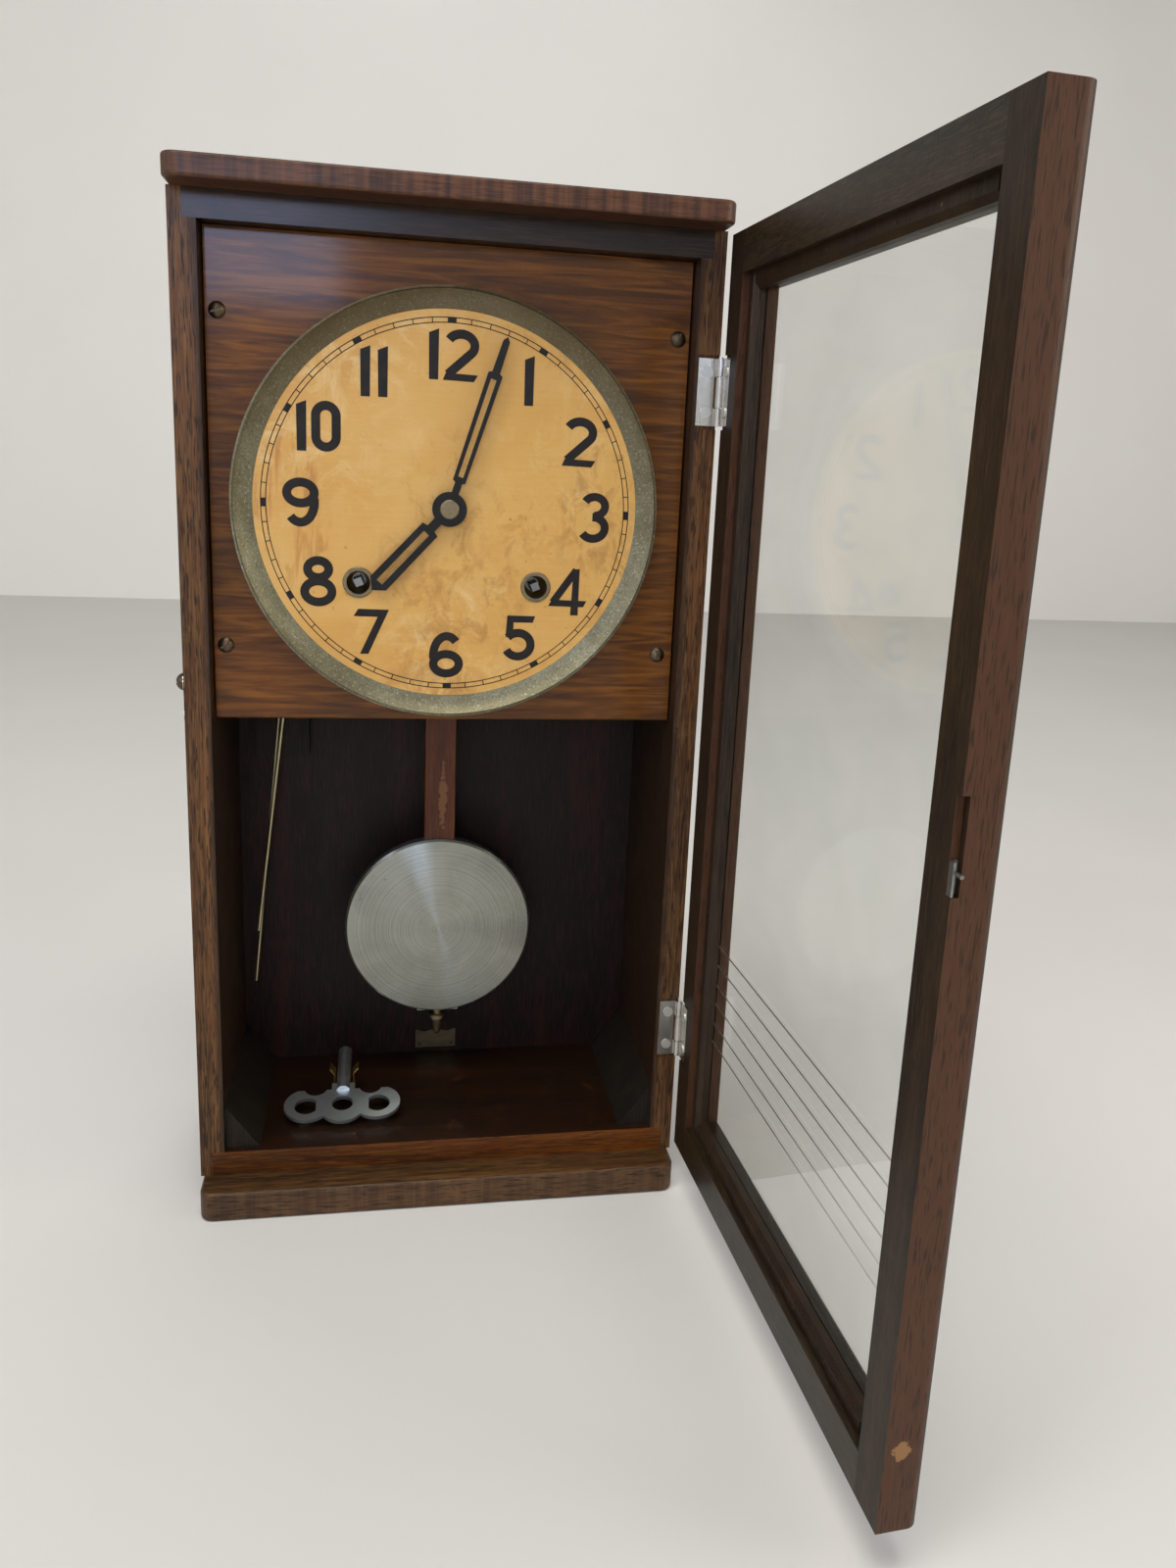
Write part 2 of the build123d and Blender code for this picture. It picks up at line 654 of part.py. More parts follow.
rod_a_top, rod_a_end = (-86.0, 43.0, 292.0), (-107.2, 43.0, 121.0)
rod_b_top, rod_b_end = (-89.6, 46.0, 292.0), (-109.6, 46.0, 87.5)
with BuildPart() as gong:
    slab(-99.0, -82.5, 39.0, gong_block_front, 288.0, 306.0)
    fillet(gong.edges().filter_by(Axis.Y), 3.0)
    for top, end, radius in ((rod_a_top, rod_a_end, 1.0), (rod_b_top, rod_b_end, 0.9)):
        run = Vector(*end) - Vector(*top)
        with BuildSketch(Plane(origin=top, z_dir=run.normalized())) as ring:
            Circle(radius)
        extrude(ring.sketch, amount=run.length)
gong.part.label = "gong"
export_step(gong.part, "parts/gong.step")

# Screws and nails that hold the dial panel, the hinges, the hook and the beat plate.
with BuildPart() as case_fasteners:
    for x, z in panel_screw_places:
        with BuildSketch(Plane(origin=(x, panel_front, z), x_dir=(1, 0, 0), z_dir=(0, 0, 1))) as profile:
            with BuildLine():
                ThreePointArc((0, -2.2), (2.3, -1.7), (4.0, 0))
                Polyline((4.0, 0), (1.6, 0), (1.6, 16), (0, 16), (0, -2.2))
            make_face()
        revolve(profile.sketch, axis=Axis((x, 0, z), (0, 1, 0)))
    for index, (x, z) in enumerate(panel_screw_places):
        turn = (20, 65, 30, 110)[index]
        with BuildSketch(facing(panel_front - 1.2)) as slot:
            with Locations(Location((x, z, 0), (0, 0, turn))):
                Rectangle(9, 0.9)
        extrude(slot.sketch, amount=2, mode=Mode.SUBTRACT)
    for low in hinge_bottoms:
        for rise in screw_rises:
            x, z = hinge_x - screw_inset - 0.6, low + rise
            disc(x, z, screw_head, case_front - 0.55, case_front)
            disc(x, z, 1.45, case_front, case_front + 11)
            for wide, tall in ((3.4, 0.6), (0.6, 3.4)):
                slab(x - wide / 2, x + wide / 2, case_front - 0.6, case_front - 0.1,
                     z - tall / 2, z + tall / 2, mode=Mode.SUBTRACT)
    side_disc(hook_y, hook_z, 3.0, 0, 0.5)
    side_disc(hook_y, hook_z, hook_bore - running, -9, 2.0)
    dome_plane = Plane(origin=(hook_outside - 2.0, hook_y, hook_z), x_dir=(0, -1, 0), z_dir=(0, 0, 1))
    with BuildSketch(dome_plane) as dome:
        with BuildLine():
            ThreePointArc((4.4, 0), (3.1, -2.3), (0, -3.2))
            Polyline((0, -3.2), (0, 0), (4.4, 0))
        make_face()
    revolve(dome.sketch, axis=Axis((0, hook_y, hook_z), (1, 0, 0)))
    slab(hook_outside - 6, hook_outside - 4.2, hook_y - 5, hook_y + 5, hook_z - 0.45, hook_z + 0.45,
         mode=Mode.SUBTRACT)
    for sign in (-1, 1):
        disc(beat_x + sign * 10.0, beat_low + 2.4, 1.1, beat_front - 0.5, beat_front)
        disc(beat_x + sign * 10.0, beat_low + 2.4, 0.5, beat_front, back_face + 4)
case_fasteners.part.label = "case_fasteners"
export_step(case_fasteners.part, "parts/case_fasteners.step")

# Spring clip on the floor that holds the winding key by its shank.
clip_x = -56.5
clip_y = (9.0, 17.0)
clip_floor = floor_z
shank_tilt = 10.0
shank_radius = 3.9
with BuildPart() as key_clip:
    slab(clip_x - 3.4, clip_x + 3.4, *clip_y, clip_floor, clip_floor + 0.8)
    for sign in (-1, 1):
        jaw = [
            (clip_x + sign * 3.0, clip_floor),
            (clip_x + sign * 3.4, clip_floor),
            (clip_x + sign * 6.4, clip_floor + 5.3),
            (clip_x + sign * 5.7, clip_floor + 12.4),
            (clip_x + sign * 8.4, clip_floor + 16.0),
            (clip_x + sign * 7.6, clip_floor + 16.5),
            (clip_x + sign * 4.9, clip_floor + 12.6),
            (clip_x + sign * 5.6, clip_floor + 5.5),
            (clip_x + sign * 3.0, clip_floor + 0.8),
        ]
        plate(jaw, *clip_y)
key_clip.part.label = "key_clip"
export_step(key_clip.part, "parts/key_clip.step")

# Winding key: butterfly grip and a hollow square-ended shank, lying tilted in the clip.
tilt = radians(shank_tilt)
key_dir = (0, cos(tilt), sin(tilt))
key_origin = (clip_x, -14.0, floor_z + 6.0)
key_plane = Plane(origin=key_origin, x_dir=(1, 0, 0), z_dir=(0, -sin(tilt), cos(tilt)))
grip_thickness = 2.2
with BuildPart() as winding_key:
    with BuildSketch(key_plane) as grip:
        for sign in (-1, 1):
            with Locations((sign * 19.5, 0)):
                Circle(13.0)
            with Locations((sign * 5.0, 13.0)):
                Circle(2.6)
        with Locations((0, -3.0)):
            Circle(12.0)
        with Locations((0, 3.0)):
            Rectangle(24, 18)
        with Locations((0, 17.6)):
            Rectangle(70, 12, mode=Mode.SUBTRACT)
        with Locations((0, 12.4)):
            Rectangle(13, 9)
        for sign in (-1, 1):
            with Locations((sign * 15.5, 13.6)):
                Circle(6.5, mode=Mode.SUBTRACT)
            with Locations((sign * 20.0, -1.5)):
                Circle(6.6, mode=Mode.SUBTRACT)
            with Locations((sign * 13.0, -1.5)):
                Rectangle(3.4, 14, mode=Mode.ADD)
        with Locations((0, -0.5)):
            Circle(5.9, mode=Mode.SUBTRACT)
    extrude(grip.sketch, amount=grip_thickness)
    shank_start = key_plane.from_local_coords((0, 11.0, grip_thickness / 2))
    with BuildSketch(Plane(origin=shank_start, x_dir=(1, 0, 0), z_dir=key_dir)) as shank:
        Circle(shank_radius)
    extrude(shank.sketch, amount=36.0)
    shank_tip = key_plane.from_local_coords((0, 47.0, grip_thickness / 2))
    with BuildSketch(Plane(origin=shank_tip, x_dir=(1, 0, 0), z_dir=key_dir)) as socket:
        Rectangle(4.4, 4.4)
    extrude(socket.sketch, amount=-20.0, mode=Mode.SUBTRACT)
winding_key.part.label = "winding_key"
export_step(winding_key.part, "parts/winding_key.step")

# ================================================================ movement frame
corner_dx = 61.0
corner_low = dial_z - 68.0
corner_high = dial_z + 44.0
corners_xz = [(dial_x + sign * corner_dx, z) for sign in (-1, 1) for z in (corner_low, corner_high)]
small_arbors = [
    (second_x, second_z),
    (third_x, third_z),
    (dial_x, escape_z),
    (pin_x, pin_z),
    (lock_x, lock_z),
    (fly_x, fly_z),
]
hammer_x, hammer_z = dial_x - 61.0, dial_z + 16.0
winding_bore = 3.5
motion_reach = 14.0
motion_angle = -90.0
minute_x, minute_z = around(dial_x, dial_z, motion_reach, motion_angle)
for name, y0 in (("movement_front_plate", front_plate), ("movement_back_plate", back_plate)):
    y1 = y0 + plate_thickness
    with BuildPart() as frame_plate:
        slab(dial_x - plate_half, dial_x + plate_half, y0, y1, plate_low, plate_high)
        fillet(frame_plate.edges().filter_by(Axis.Y), 6.0)
        for x, z in small_arbors:
            disc(x, z, pivot + running, y0, y1, mode=Mode.SUBTRACT)
        for x in (time_x, strike_x):
            disc(x, winding_z, winding_bore, y0, y1, mode=Mode.SUBTRACT)
        centre_bore = arbor_radius + running if y0 == front_plate else pivot + running
        disc(dial_x, dial_z, centre_bore, y0, y1, mode=Mode.SUBTRACT)
        disc(dial_x, anchor_z, 1.0 + running, y0, y1, mode=Mode.SUBTRACT)
        disc(hammer_x, hammer_z, 1.5 + running, y0, y1, mode=Mode.SUBTRACT)
        for x, z in corners_xz:
            disc(x, z, 1.4, y0, y1, mode=Mode.SUBTRACT)
        if y0 == front_plate:
            disc(minute_x, minute_z, 0.9, -29.2, front_plate)
            disc(minute_x, minute_z, 2.0, -22.4, front_plate)
    frame_plate.part.label = name
    export_step(frame_plate.part, "parts/" + name + ".step")

with BuildPart() as movement_pillars:
    for x, z in corners_xz:
        disc(x, z, 3.2, plate_inside, back_plate)
        disc(x, z, 1.4, front_plate, plate_inside)
        disc(x, z, 2.4, panel_back, front_plate)
        disc(x, z, 1.4, back_plate, back_plate + plate_thickness)
        disc(x, z, 3.2, back_plate + plate_thickness, back_plate + plate_thickness + 2.4)
movement_pillars.part.label = "movement_pillars"
export_step(movement_pillars.part, "parts/movement_pillars.step")

# The cock carries the pendulum's suspension pin between two cheeks.
cock_back = back_plate + plate_thickness
suspension_pin = 1.0
with BuildPart() as suspension_cock:
    slab(dial_x - 8, dial_x + 8, cock_back, 26.5, anchor_z + 4.2, anchor_z + 7.2)
    slab(dial_x - 8, dial_x + 8, 24.7, 26.5, anchor_z - 3, anchor_z + 4.2)
    slab(dial_x - 8, dial_x + 8, 18.9, 20.4, anchor_z - 3, anchor_z + 4.2)
    disc(dial_x, anchor_z, suspension_pin + running, 18, 27, mode=Mode.SUBTRACT)
suspension_cock.part.label = "suspension_cock"
export_step(suspension_cock.part, "parts/suspension_cock.step")

# ================================================================ pendulum
rod_top = 396.0
rod_low = 86.2
crutch_slot = 366.0
screw_low = 60.5
rating_radius = 1.5
with BuildPart() as suspension_spring:
    disc(dial_x, anchor_z, suspension_pin, 18.95, 26.45)
    disc(dial_x, anchor_z, 2.0, 20.8, 24.3)
    slab(dial_x - 0.2, dial_x + 0.2, 20.6, 24.4, rod_top + 4, anchor_z - 1.5)
    slab(dial_x - 2.0, dial_x + 2.0, 20.4, 24.6, rod_top, rod_top + 5)
suspension_spring.part.label = "suspension_spring"
export_step(suspension_spring.part, "parts/suspension_spring.step")

rod_front = pendulum_y - rod_thickness / 2
rod_back = pendulum_y + rod_thickness / 2
with BuildPart() as pendulum_rod:
    slab(dial_x - rod_width / 2, dial_x + rod_width / 2, rod_front, rod_back, rod_low, rod_top)
    fillet(pendulum_rod.edges().filter_by(Axis.Z), 0.8)
    slab(dial_x - 1.1, dial_x + 1.1, rod_front, rod_back, crutch_slot - 9, crutch_slot + 9,
         mode=Mode.SUBTRACT)
    with BuildSketch(Plane.XY.offset(screw_low)) as ring:
        with Locations((dial_x, pendulum_y)):
            Circle(rating_radius)
    extrude(ring.sketch, amount=rod_low - screw_low)
pendulum_rod.part.label = "pendulum_rod"
export_step(pendulum_rod.part, "parts/pendulum_rod.step")

bob_front = pendulum_y - 7.5
bob_edge = pendulum_y - 3.6
with BuildPart() as pendulum_bob:
    with BuildSketch(Plane(origin=(dial_x, 0, bob_z), x_dir=(1, 0, 0), z_dir=(0, 0, 1))) as profile:
        with BuildLine():
            ThreePointArc(
                (0, bob_front),
                (bob_radius * 0.55, bob_front + 1.0),
                (bob_radius - 1.2, bob_edge - 0.4),
            )
            Polyline(
                (bob_radius - 1.2, bob_edge - 0.4),
                (bob_radius, bob_edge + 0.6),
                (bob_radius, pendulum_y + 3.2),
                (bob_radius - 2.0, pendulum_y + 4.2),
                (0, pendulum_y + 4.2),
                (0, bob_front),
            )
        make_face()
    revolve(profile.sketch, axis=Axis((dial_x, 0, bob_z), (0, 1, 0)))
    slot = rod_width / 2 + 0.3
    slab(dial_x - slot, dial_x + slot, rod_front - 0.25, rod_back + 0.25, bob_z - 60, bob_z + 60,
         mode=Mode.SUBTRACT)
    slab(dial_x - 12, dial_x + 12, rod_front - 0.2, rod_back + 0.2, 76.5, 80.5)
    with BuildSketch(Plane.XY.offset(70)) as ring:
        with Locations((dial_x, pendulum_y)):
            Circle(rating_radius + 0.4)
    extrude(ring.sketch, amount=12, mode=Mode.SUBTRACT)
pendulum_bob.part.label = "pendulum_bob"
export_step(pendulum_bob.part, "parts/pendulum_bob.step")

with BuildPart() as rating_nut:
    with BuildSketch(Plane(origin=(dial_x, pendulum_y, 0), x_dir=(1, 0, 0), z_dir=(0, -1, 0))) as profile:
        with BuildLine():
            Polyline(
                (rating_radius + running, 62.0),
                (2.3, 62.0),
                (3.9, 71.0),
                (5.2, 71.3),
                (5.2, 73.6),
                (2.8, 73.8),
                (2.8, 76.3),
                (rating_radius + running, 76.3),
                close=True,
            )
        make_face()
    revolve(profile.sketch, axis=Axis((dial_x, pendulum_y, 0), (0, 0, 1)))
rating_nut.part.label = "rating_nut"
export_step(rating_nut.part, "parts/rating_nut.step")

# ================================================================ escapement
tooth_angle = 360 / escape_teeth
escape_points = []
for index in range(escape_teeth):
    start = 90 + tooth_angle * (index + 0.25)
    escape_points.append(around(dial_x, escape_z, escape_radius - 3.4, start))
    escape_points.append(around(dial_x, escape_z, escape_radius, start + 1.2))
    escape_points.append(around(dial_x, escape_z, escape_radius, start + 2.0))
    escape_points.append(around(dial_x, escape_z, escape_radius - 3.0, start + 5.0))
with BuildPart() as escape_wheel:
    plate(escape_points, *escape_y)
    for index in range(5):
        hole_x, hole_z = around(dial_x, escape_z, 7.0, 72 * index)
        disc(hole_x, hole_z, 2.7, *escape_y, mode=Mode.SUBTRACT)
    pinion(dial_x, escape_z, escape_pinion, third_module, escape_pinion_phase, *escape_pinion_y)
    arbor(dial_x, escape_z, radius=1.1)
escape_wheel.part.label = "escape_wheel"
export_step(escape_wheel.part, "parts/escape_wheel.step")

# Recoil anchor: two arms that span seven and a half teeth, and a crutch behind the back plate.
reach_angle = 7.5 * tooth_angle / 2
entry_x, entry_z = around(dial_x, escape_z, escape_radius + 1.05, 90 + reach_angle)
exit_x, exit_z = around(dial_x, escape_z, escape_radius + 1.05, 90 - reach_angle)
crutch_y = (17.2, 18.4)
with BuildPart() as anchor:
    plate([
        (dial_x - 2.6, anchor_z - 0.6),
        (entry_x - 3.2, entry_z + 5.8),
        (entry_x - 1.9, entry_z + 0.4),
        (entry_x - 0.2, entry_z + 0.1),
        (entry_x + 1.0, entry_z + 4.6),
        (dial_x, anchor_z - 3.8),
        (exit_x - 1.0, exit_z + 4.6),
        (exit_x + 0.2, exit_z + 0.1),
        (exit_x + 1.9, exit_z + 0.4),
        (exit_x + 3.2, exit_z + 5.8),
        (dial_x + 2.6, anchor_z - 0.6),
        (dial_x + 2.6, anchor_z + 2.4),
        (dial_x - 2.6, anchor_z + 2.4),
    ], *escape_y)
    disc(dial_x, anchor_z, 1.6, plate_inside + 0.3, back_plate - 0.3)
    disc(dial_x, anchor_z, 1.0, front_plate - 0.3, crutch_y[1])
    disc(dial_x, anchor_z, 3.0, *crutch_y)
    slab(dial_x - 0.9, dial_x + 0.9, *crutch_y, crutch_slot - 1, anchor_z)
    slab(dial_x - 0.9, dial_x + 0.9, crutch_y[0], 25.6, crutch_slot - 1.0, crutch_slot + 1.0)
anchor.part.label = "anchor"
export_step(anchor.part, "parts/anchor.step")

# ================================================================ going train
with BuildPart() as third_wheel:
    wheel(third_x, third_z, third_teeth, third_module, third_phase, *third_y)
    pinion(third_x, third_z, third_pinion, centre_module, third_pinion_phase, *third_pinion_y)
    arbor(third_x, third_z, radius=1.1)
third_wheel.part.label = "third_wheel"
export_step(third_wheel.part, "parts/third_wheel.step")

centre_front = -41.0
with BuildPart() as centre_wheel:
    wheel(dial_x, dial_z, centre_teeth, centre_module, centre_phase, *centre_y)
    pinion(dial_x, dial_z, centre_pinion, second_module, centre_pinion_phase, *centre_pinion_y)
    disc(dial_x, dial_z, arbor_radius, centre_front, back_plate - 0.2)
    disc(dial_x, dial_z, pivot, back_plate - 0.2, back_plate + plate_thickness + 0.3)
centre_wheel.part.label = "centre_wheel"
export_step(centre_wheel.part, "parts/centre_wheel.step")

with BuildPart() as second_wheel:
    wheel(second_x, second_z, second_teeth, second_module, second_phase, *second_y)
    pinion(second_x, second_z, second_pinion, great_module, second_pinion_phase, *second_pinion_y)
    arbor(second_x, second_z)
second_wheel.part.label = "second_wheel"
export_step(second_wheel.part, "parts/second_wheel.step")

# ================================================================ barrels, springs and winding arbors
ratchet_teeth = 24
ratchet_radius = 9.0
click_tip = 9.2
winding_radius = 3.4
square = 4.0
phase_of = {
    "time": (time_x, great_phase, 1),
    "strike": (strike_x, pin_direction, -1),
}
for side_name, (wx, phase, sign) in phase_of.items():
    with BuildPart() as great_wheel:
        plate(gear_points(wx, winding_z, great_teeth, great_module, phase, 0.85, 1.2, 0.42), *great_y)
        disc(wx, winding_z, winding_radius + running, *great_y, mode=Mode.SUBTRACT)
        for index in range(6):
            hx, hz = around(wx, winding_z, 19.5, phase + 60 * index)
            disc(hx, hz, 4.2, *great_y, mode=Mode.SUBTRACT)
        click_x, click_z = around(wx, winding_z, 15.0, 90 - sign * 60)
        disc(click_x, click_z, 1.2, great_y[0], ratchet_y[1] + 0.6)
    great_wheel.part.label = side_name + "_great_wheel"
    export_step(great_wheel.part, "parts/" + side_name + "_great_wheel.step")

    with BuildPart() as winding_arbor:
        disc(wx, winding_z, winding_radius, plate_inside + 0.2, back_plate - 0.2)
        disc(wx, winding_z, winding_bore - running, front_plate - 1.0, plate_inside + 0.2)
        disc(wx, winding_z, winding_bore - running, back_plate - 0.2, back_plate + plate_thickness + 0.8)
        with BuildSketch(facing(front_plate - 1.0)) as key_square:
            with Locations((wx, winding_z)):
                Rectangle(square, square, rotation=22)
        extrude(key_square.sketch, amount=14.5)
        ratchet = []
        for index in range(ratchet_teeth):
            turn = 360 / ratchet_teeth * index
            ratchet.append(around(wx, winding_z, ratchet_radius, turn))
            ratchet.append(around(wx, winding_z, ratchet_radius - 1.4, turn + sign * 1.0))
        plate(ratchet, *ratchet_y)
    winding_arbor.part.label = side_name + "_winding_arbor"
    export_step(winding_arbor.part, "parts/" + side_name + "_winding_arbor.step")

    with BuildPart() as click:
        tip_angle = 90 - sign * 25
        tip_x, tip_z = around(wx, winding_z, click_tip, tip_angle)
        out_x, out_z = around(wx, winding_z, click_tip + 2.4, tip_angle)
        with BuildSketch(facing(ratchet_y[1])) as pawl:
            with Locations((click_x, click_z)):
                Circle(2.4)
            Polygon(
                (tip_x, tip_z),
                (out_x, out_z),
                around(click_x, click_z, 2.2, direction(click_x, click_z, out_x, out_z) - sign * 60),
                around(click_x, click_z, 2.2, direction(click_x, click_z, tip_x, tip_z) + sign * 60),
                align=None,
            )
        extrude(pawl.sketch, amount=ratchet_y[1] - ratchet_y[0])
        disc(click_x, click_z, 1.2 + running, *ratchet_y, mode=Mode.SUBTRACT)
    click.part.label = side_name + "_click"
    export_step(click.part, "parts/" + side_name + "_click.step")

# Open mainsprings, drawn part wound as flat spiral bands.
band = 0.5
coil_start = 6.0
coil_step = 2.3
coil_turns = 6
steps_per_turn = 16
with BuildPart() as mainsprings:
    for wx, phase, sign in phase_of.values():
        inner_line = []
        outer_line = []
        for step in range(coil_turns * steps_per_turn + 1):
            turns = step / steps_per_turn
            radius = coil_start + coil_step * turns
            inner_line.append(around(wx, winding_z, radius, sign * 360 * turns))
            outer_line.append(around(wx, winding_z, radius + band, sign * 360 * turns))
        plate(inner_line + outer_line[::-1], *spring_y)
mainsprings.part.label = "mainsprings"
export_step(mainsprings.part, "parts/mainsprings.step")

# ================================================================ strike train
pin_phase = direction(pin_x, pin_z, lock_x, lock_z)
lock_direction = direction(lock_x, lock_z, fly_x, fly_z)
with BuildPart() as strike_pin_wheel:
    wheel(pin_x, pin_z, pin_teeth, pin_module, pin_phase, *centre_y)
    pinion(pin_x, pin_z, pin_pinion, great_module, facing_pair(pin_direction + 180, pin_pinion),
           *second_pinion_y)
    arbor(pin_x, pin_z)
    for index in range(8):
        hx, hz = around(pin_x, pin_z, 11.9, pin_phase + 45 * index + 22.5)
        disc(hx, hz, 0.6, centre_y[0] - 3.0, centre_y[0])
strike_pin_wheel.part.label = "strike_pin_wheel"
export_step(strike_pin_wheel.part, "parts/strike_pin_wheel.step")

with BuildPart() as strike_locking_wheel:
    wheel(lock_x, lock_z, lock_teeth, lock_module, lock_direction, *third_y, spokes=4)
    pinion(lock_x, lock_z, lock_pinion, pin_module, facing_pair(pin_phase + 180, lock_pinion),
           *third_pinion_y)
    arbor(lock_x, lock_z, radius=1.1)
strike_locking_wheel.part.label = "strike_locking_wheel"
export_step(strike_locking_wheel.part, "parts/strike_locking_wheel.step")

with BuildPart() as strike_fly:
    pinion(fly_x, fly_z, fly_pinion, lock_module, facing_pair(lock_direction + 180, fly_pinion),
           *escape_pinion_y)
    arbor(fly_x, fly_z, radius=1.0)
    slab(fly_x - 10.0, fly_x + 10.0, -2.0, 9.0, fly_z - 0.3, fly_z + 0.3)
strike_fly.part.label = "strike_fly"
export_step(strike_fly.part, "parts/strike_fly.step")

# The hammer arbor passes through both plates, and its arm reaches down to the gong rods.
head_x, head_z = -81.0, 268.0
arm_y = (41.0, 44.0)
with BuildPart() as hammer:
    disc(hammer_x, hammer_z, 1.5, front_plate - 0.5, arm_y[1])
    disc(hammer_x, hammer_z, 3.0, -9.5, -7.5)
    tail = direction(hammer_x, hammer_z, pin_x, pin_z)
    plate([
        around(hammer_x, hammer_z, 2.5, tail + 70),
        around(hammer_x, hammer_z, 11.0, tail + 5),
        around(hammer_x, hammer_z, 11.0, tail - 5),
        around(hammer_x, hammer_z, 2.5, tail - 70),
    ], -9.5, -7.5)
    disc(hammer_x, hammer_z, 3.0, *arm_y)
    arm_angle = direction(hammer_x, hammer_z, head_x, head_z)
    arm_length = hypot(head_x - hammer_x, head_z - hammer_z)
    with BuildSketch(facing(arm_y[1] - 0.7)) as arm:
        with Locations(Location(((hammer_x + head_x) / 2, (hammer_z + head_z) / 2, 0), (0, 0, arm_angle))):
            Rectangle(arm_length, 1.6)
    extrude(arm.sketch, amount=1.6)
    head_dir = Vector(cos(radians(arm_angle - 90)), 0, sin(radians(arm_angle - 90)))
    with BuildSketch(Plane(origin=(head_x, (arm_y[0] + arm_y[1]) / 2, head_z), z_dir=head_dir)) as head:
        Circle(4.5)
    extrude(head.sketch, amount=5.0, both=True)
hammer.part.label = "hammer"
export_step(hammer.part, "parts/hammer.step")

# ================================================================ motion work and hands
cannon_teeth, minute_teeth, minute_pinion_teeth, hour_teeth = 14, 42, 10, 40
cannon_module = 0.5
hour_module = 0.56
cannon_outer = 2.8
hour_bore = 2.9
hour_outer = 4.2
minute_hand_y = (-43.1, -42.5)
hour_hand_y = (-41.4, -40.8)

with BuildPart() as cannon_pinion:
    disc(dial_x, dial_z, cannon_outer, -42.5, -21.6)
    pinion(dial_x, dial_z, cannon_teeth, cannon_module, motion_angle, -24.6, -21.6)
    disc(dial_x, dial_z, arbor_radius + running, -42.5, -21.6, mode=Mode.SUBTRACT)
cannon_pinion.part.label = "cannon_pinion"
export_step(cannon_pinion.part, "parts/cannon_pinion.step")

with BuildPart() as minute_wheel:
    wheel_phase = facing_pair(motion_angle + 180, minute_teeth)
    wheel(minute_x, minute_z, minute_teeth, cannon_module, wheel_phase, -24.0, -22.8, spokes=4)
    pinion_phase = facing_pair(motion_angle + 180, minute_pinion_teeth)
    pinion(minute_x, minute_z, minute_pinion_teeth, hour_module, pinion_phase, -28.4, -24.0)
    disc(minute_x, minute_z, 0.9 + running, -29, -22, mode=Mode.SUBTRACT)
minute_wheel.part.label = "minute_wheel"
export_step(minute_wheel.part, "parts/minute_wheel.step")

with BuildPart() as hour_wheel:
    wheel(dial_x, dial_z, hour_teeth, hour_module, motion_angle, -27.4, -26.2, spokes=0)
    disc(dial_x, dial_z, hour_outer, -40.8, -26.2)
    disc(dial_x, dial_z, hour_bore, -41, -26, mode=Mode.SUBTRACT)
hour_wheel.part.label = "hour_wheel"
export_step(hour_wheel.part, "parts/hour_wheel.step")

minute_angle = 17.9
hour_angle = 222.7


def hand_plane(angle, y):
    """Plane on a hand: local +Y points along the hand, clockwise angle from twelve."""
    turn = radians(angle)
    return Plane(origin=(dial_x, y, dial_z), x_dir=(cos(turn), 0, -sin(turn)), z_dir=(0, -1, 0))


with BuildPart() as minute_hand:
    with BuildSketch(hand_plane(minute_angle, minute_hand_y[1])) as outline:
        neck, bar_start, bar_end, tip = 3.6, 14.3, 68.5, 87.0
        widths, tips = (6.4, 7.2), (3.9, 3.4)
        Polygon(
            (-neck / 2, 0),
            (-neck / 2, bar_start - 0.8),
            (-widths[0] / 2, bar_start),
            (-widths[1] / 2, bar_end),
            (-tips[0] / 2, bar_end + 0.8),
            (-tips[1] / 2, tip - 2.2),
            (0, tip),
            (tips[1] / 2, tip - 2.2),
            (tips[0] / 2, bar_end + 0.8),
            (widths[1] / 2, bar_end),
            (widths[0] / 2, bar_start),
            (neck / 2, bar_start - 0.8),
            (neck / 2, 0),
            align=None,
        )
        Circle(8.5)
        Polygon((-1.25, 16.6), (-1.4, 66.0), (1.4, 66.0), (1.25, 16.6), align=None, mode=Mode.SUBTRACT)
        Circle(arbor_radius + 0.2, mode=Mode.SUBTRACT)
    extrude(amount=minute_hand_y[1] - minute_hand_y[0])
minute_hand.part.label = "minute_hand"
export_step(minute_hand.part, "parts/minute_hand.step")

with BuildPart() as hour_hand:
    with BuildSketch(hand_plane(hour_angle, hour_hand_y[1])) as outline:
        Polygon(
            (-2.3, 0),
            (-2.3, 13.2),
            (-4.9, 13.8),
            (-5.2, 51.0),
            (0, 55.6),
            (5.2, 51.0),
            (4.9, 13.8),
            (2.3, 13.2),
            (2.3, 0),
            align=None,
        )
        Circle(8.5)
        Polygon((-1.7, 16.4), (-1.8, 50.2), (1.8, 50.2), (1.7, 16.4), align=None, mode=Mode.SUBTRACT)
        Circle(hour_bore, mode=Mode.SUBTRACT)
    extrude(amount=hour_hand_y[1] - hour_hand_y[0])
hour_hand.part.label = "hour_hand"
export_step(hour_hand.part, "parts/hour_hand.step")

with BuildPart() as hand_nut:
    disc(dial_x, dial_z, 4.8, minute_hand_y[0] - 1.8, minute_hand_y[0])
    fillet(hand_nut.edges().group_by(Axis.Y)[0], 0.8)
    disc(dial_x, dial_z, arbor_radius + 0.2, minute_hand_y[0] - 1.0, minute_hand_y[0], mode=Mode.SUBTRACT)
hand_nut.part.label = "hand_nut"
export_step(hand_nut.part, "parts/hand_nut.step")
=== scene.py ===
from math import cos, hypot, radians, sin

import bmesh
import bpy
from mathutils import Matrix, Vector


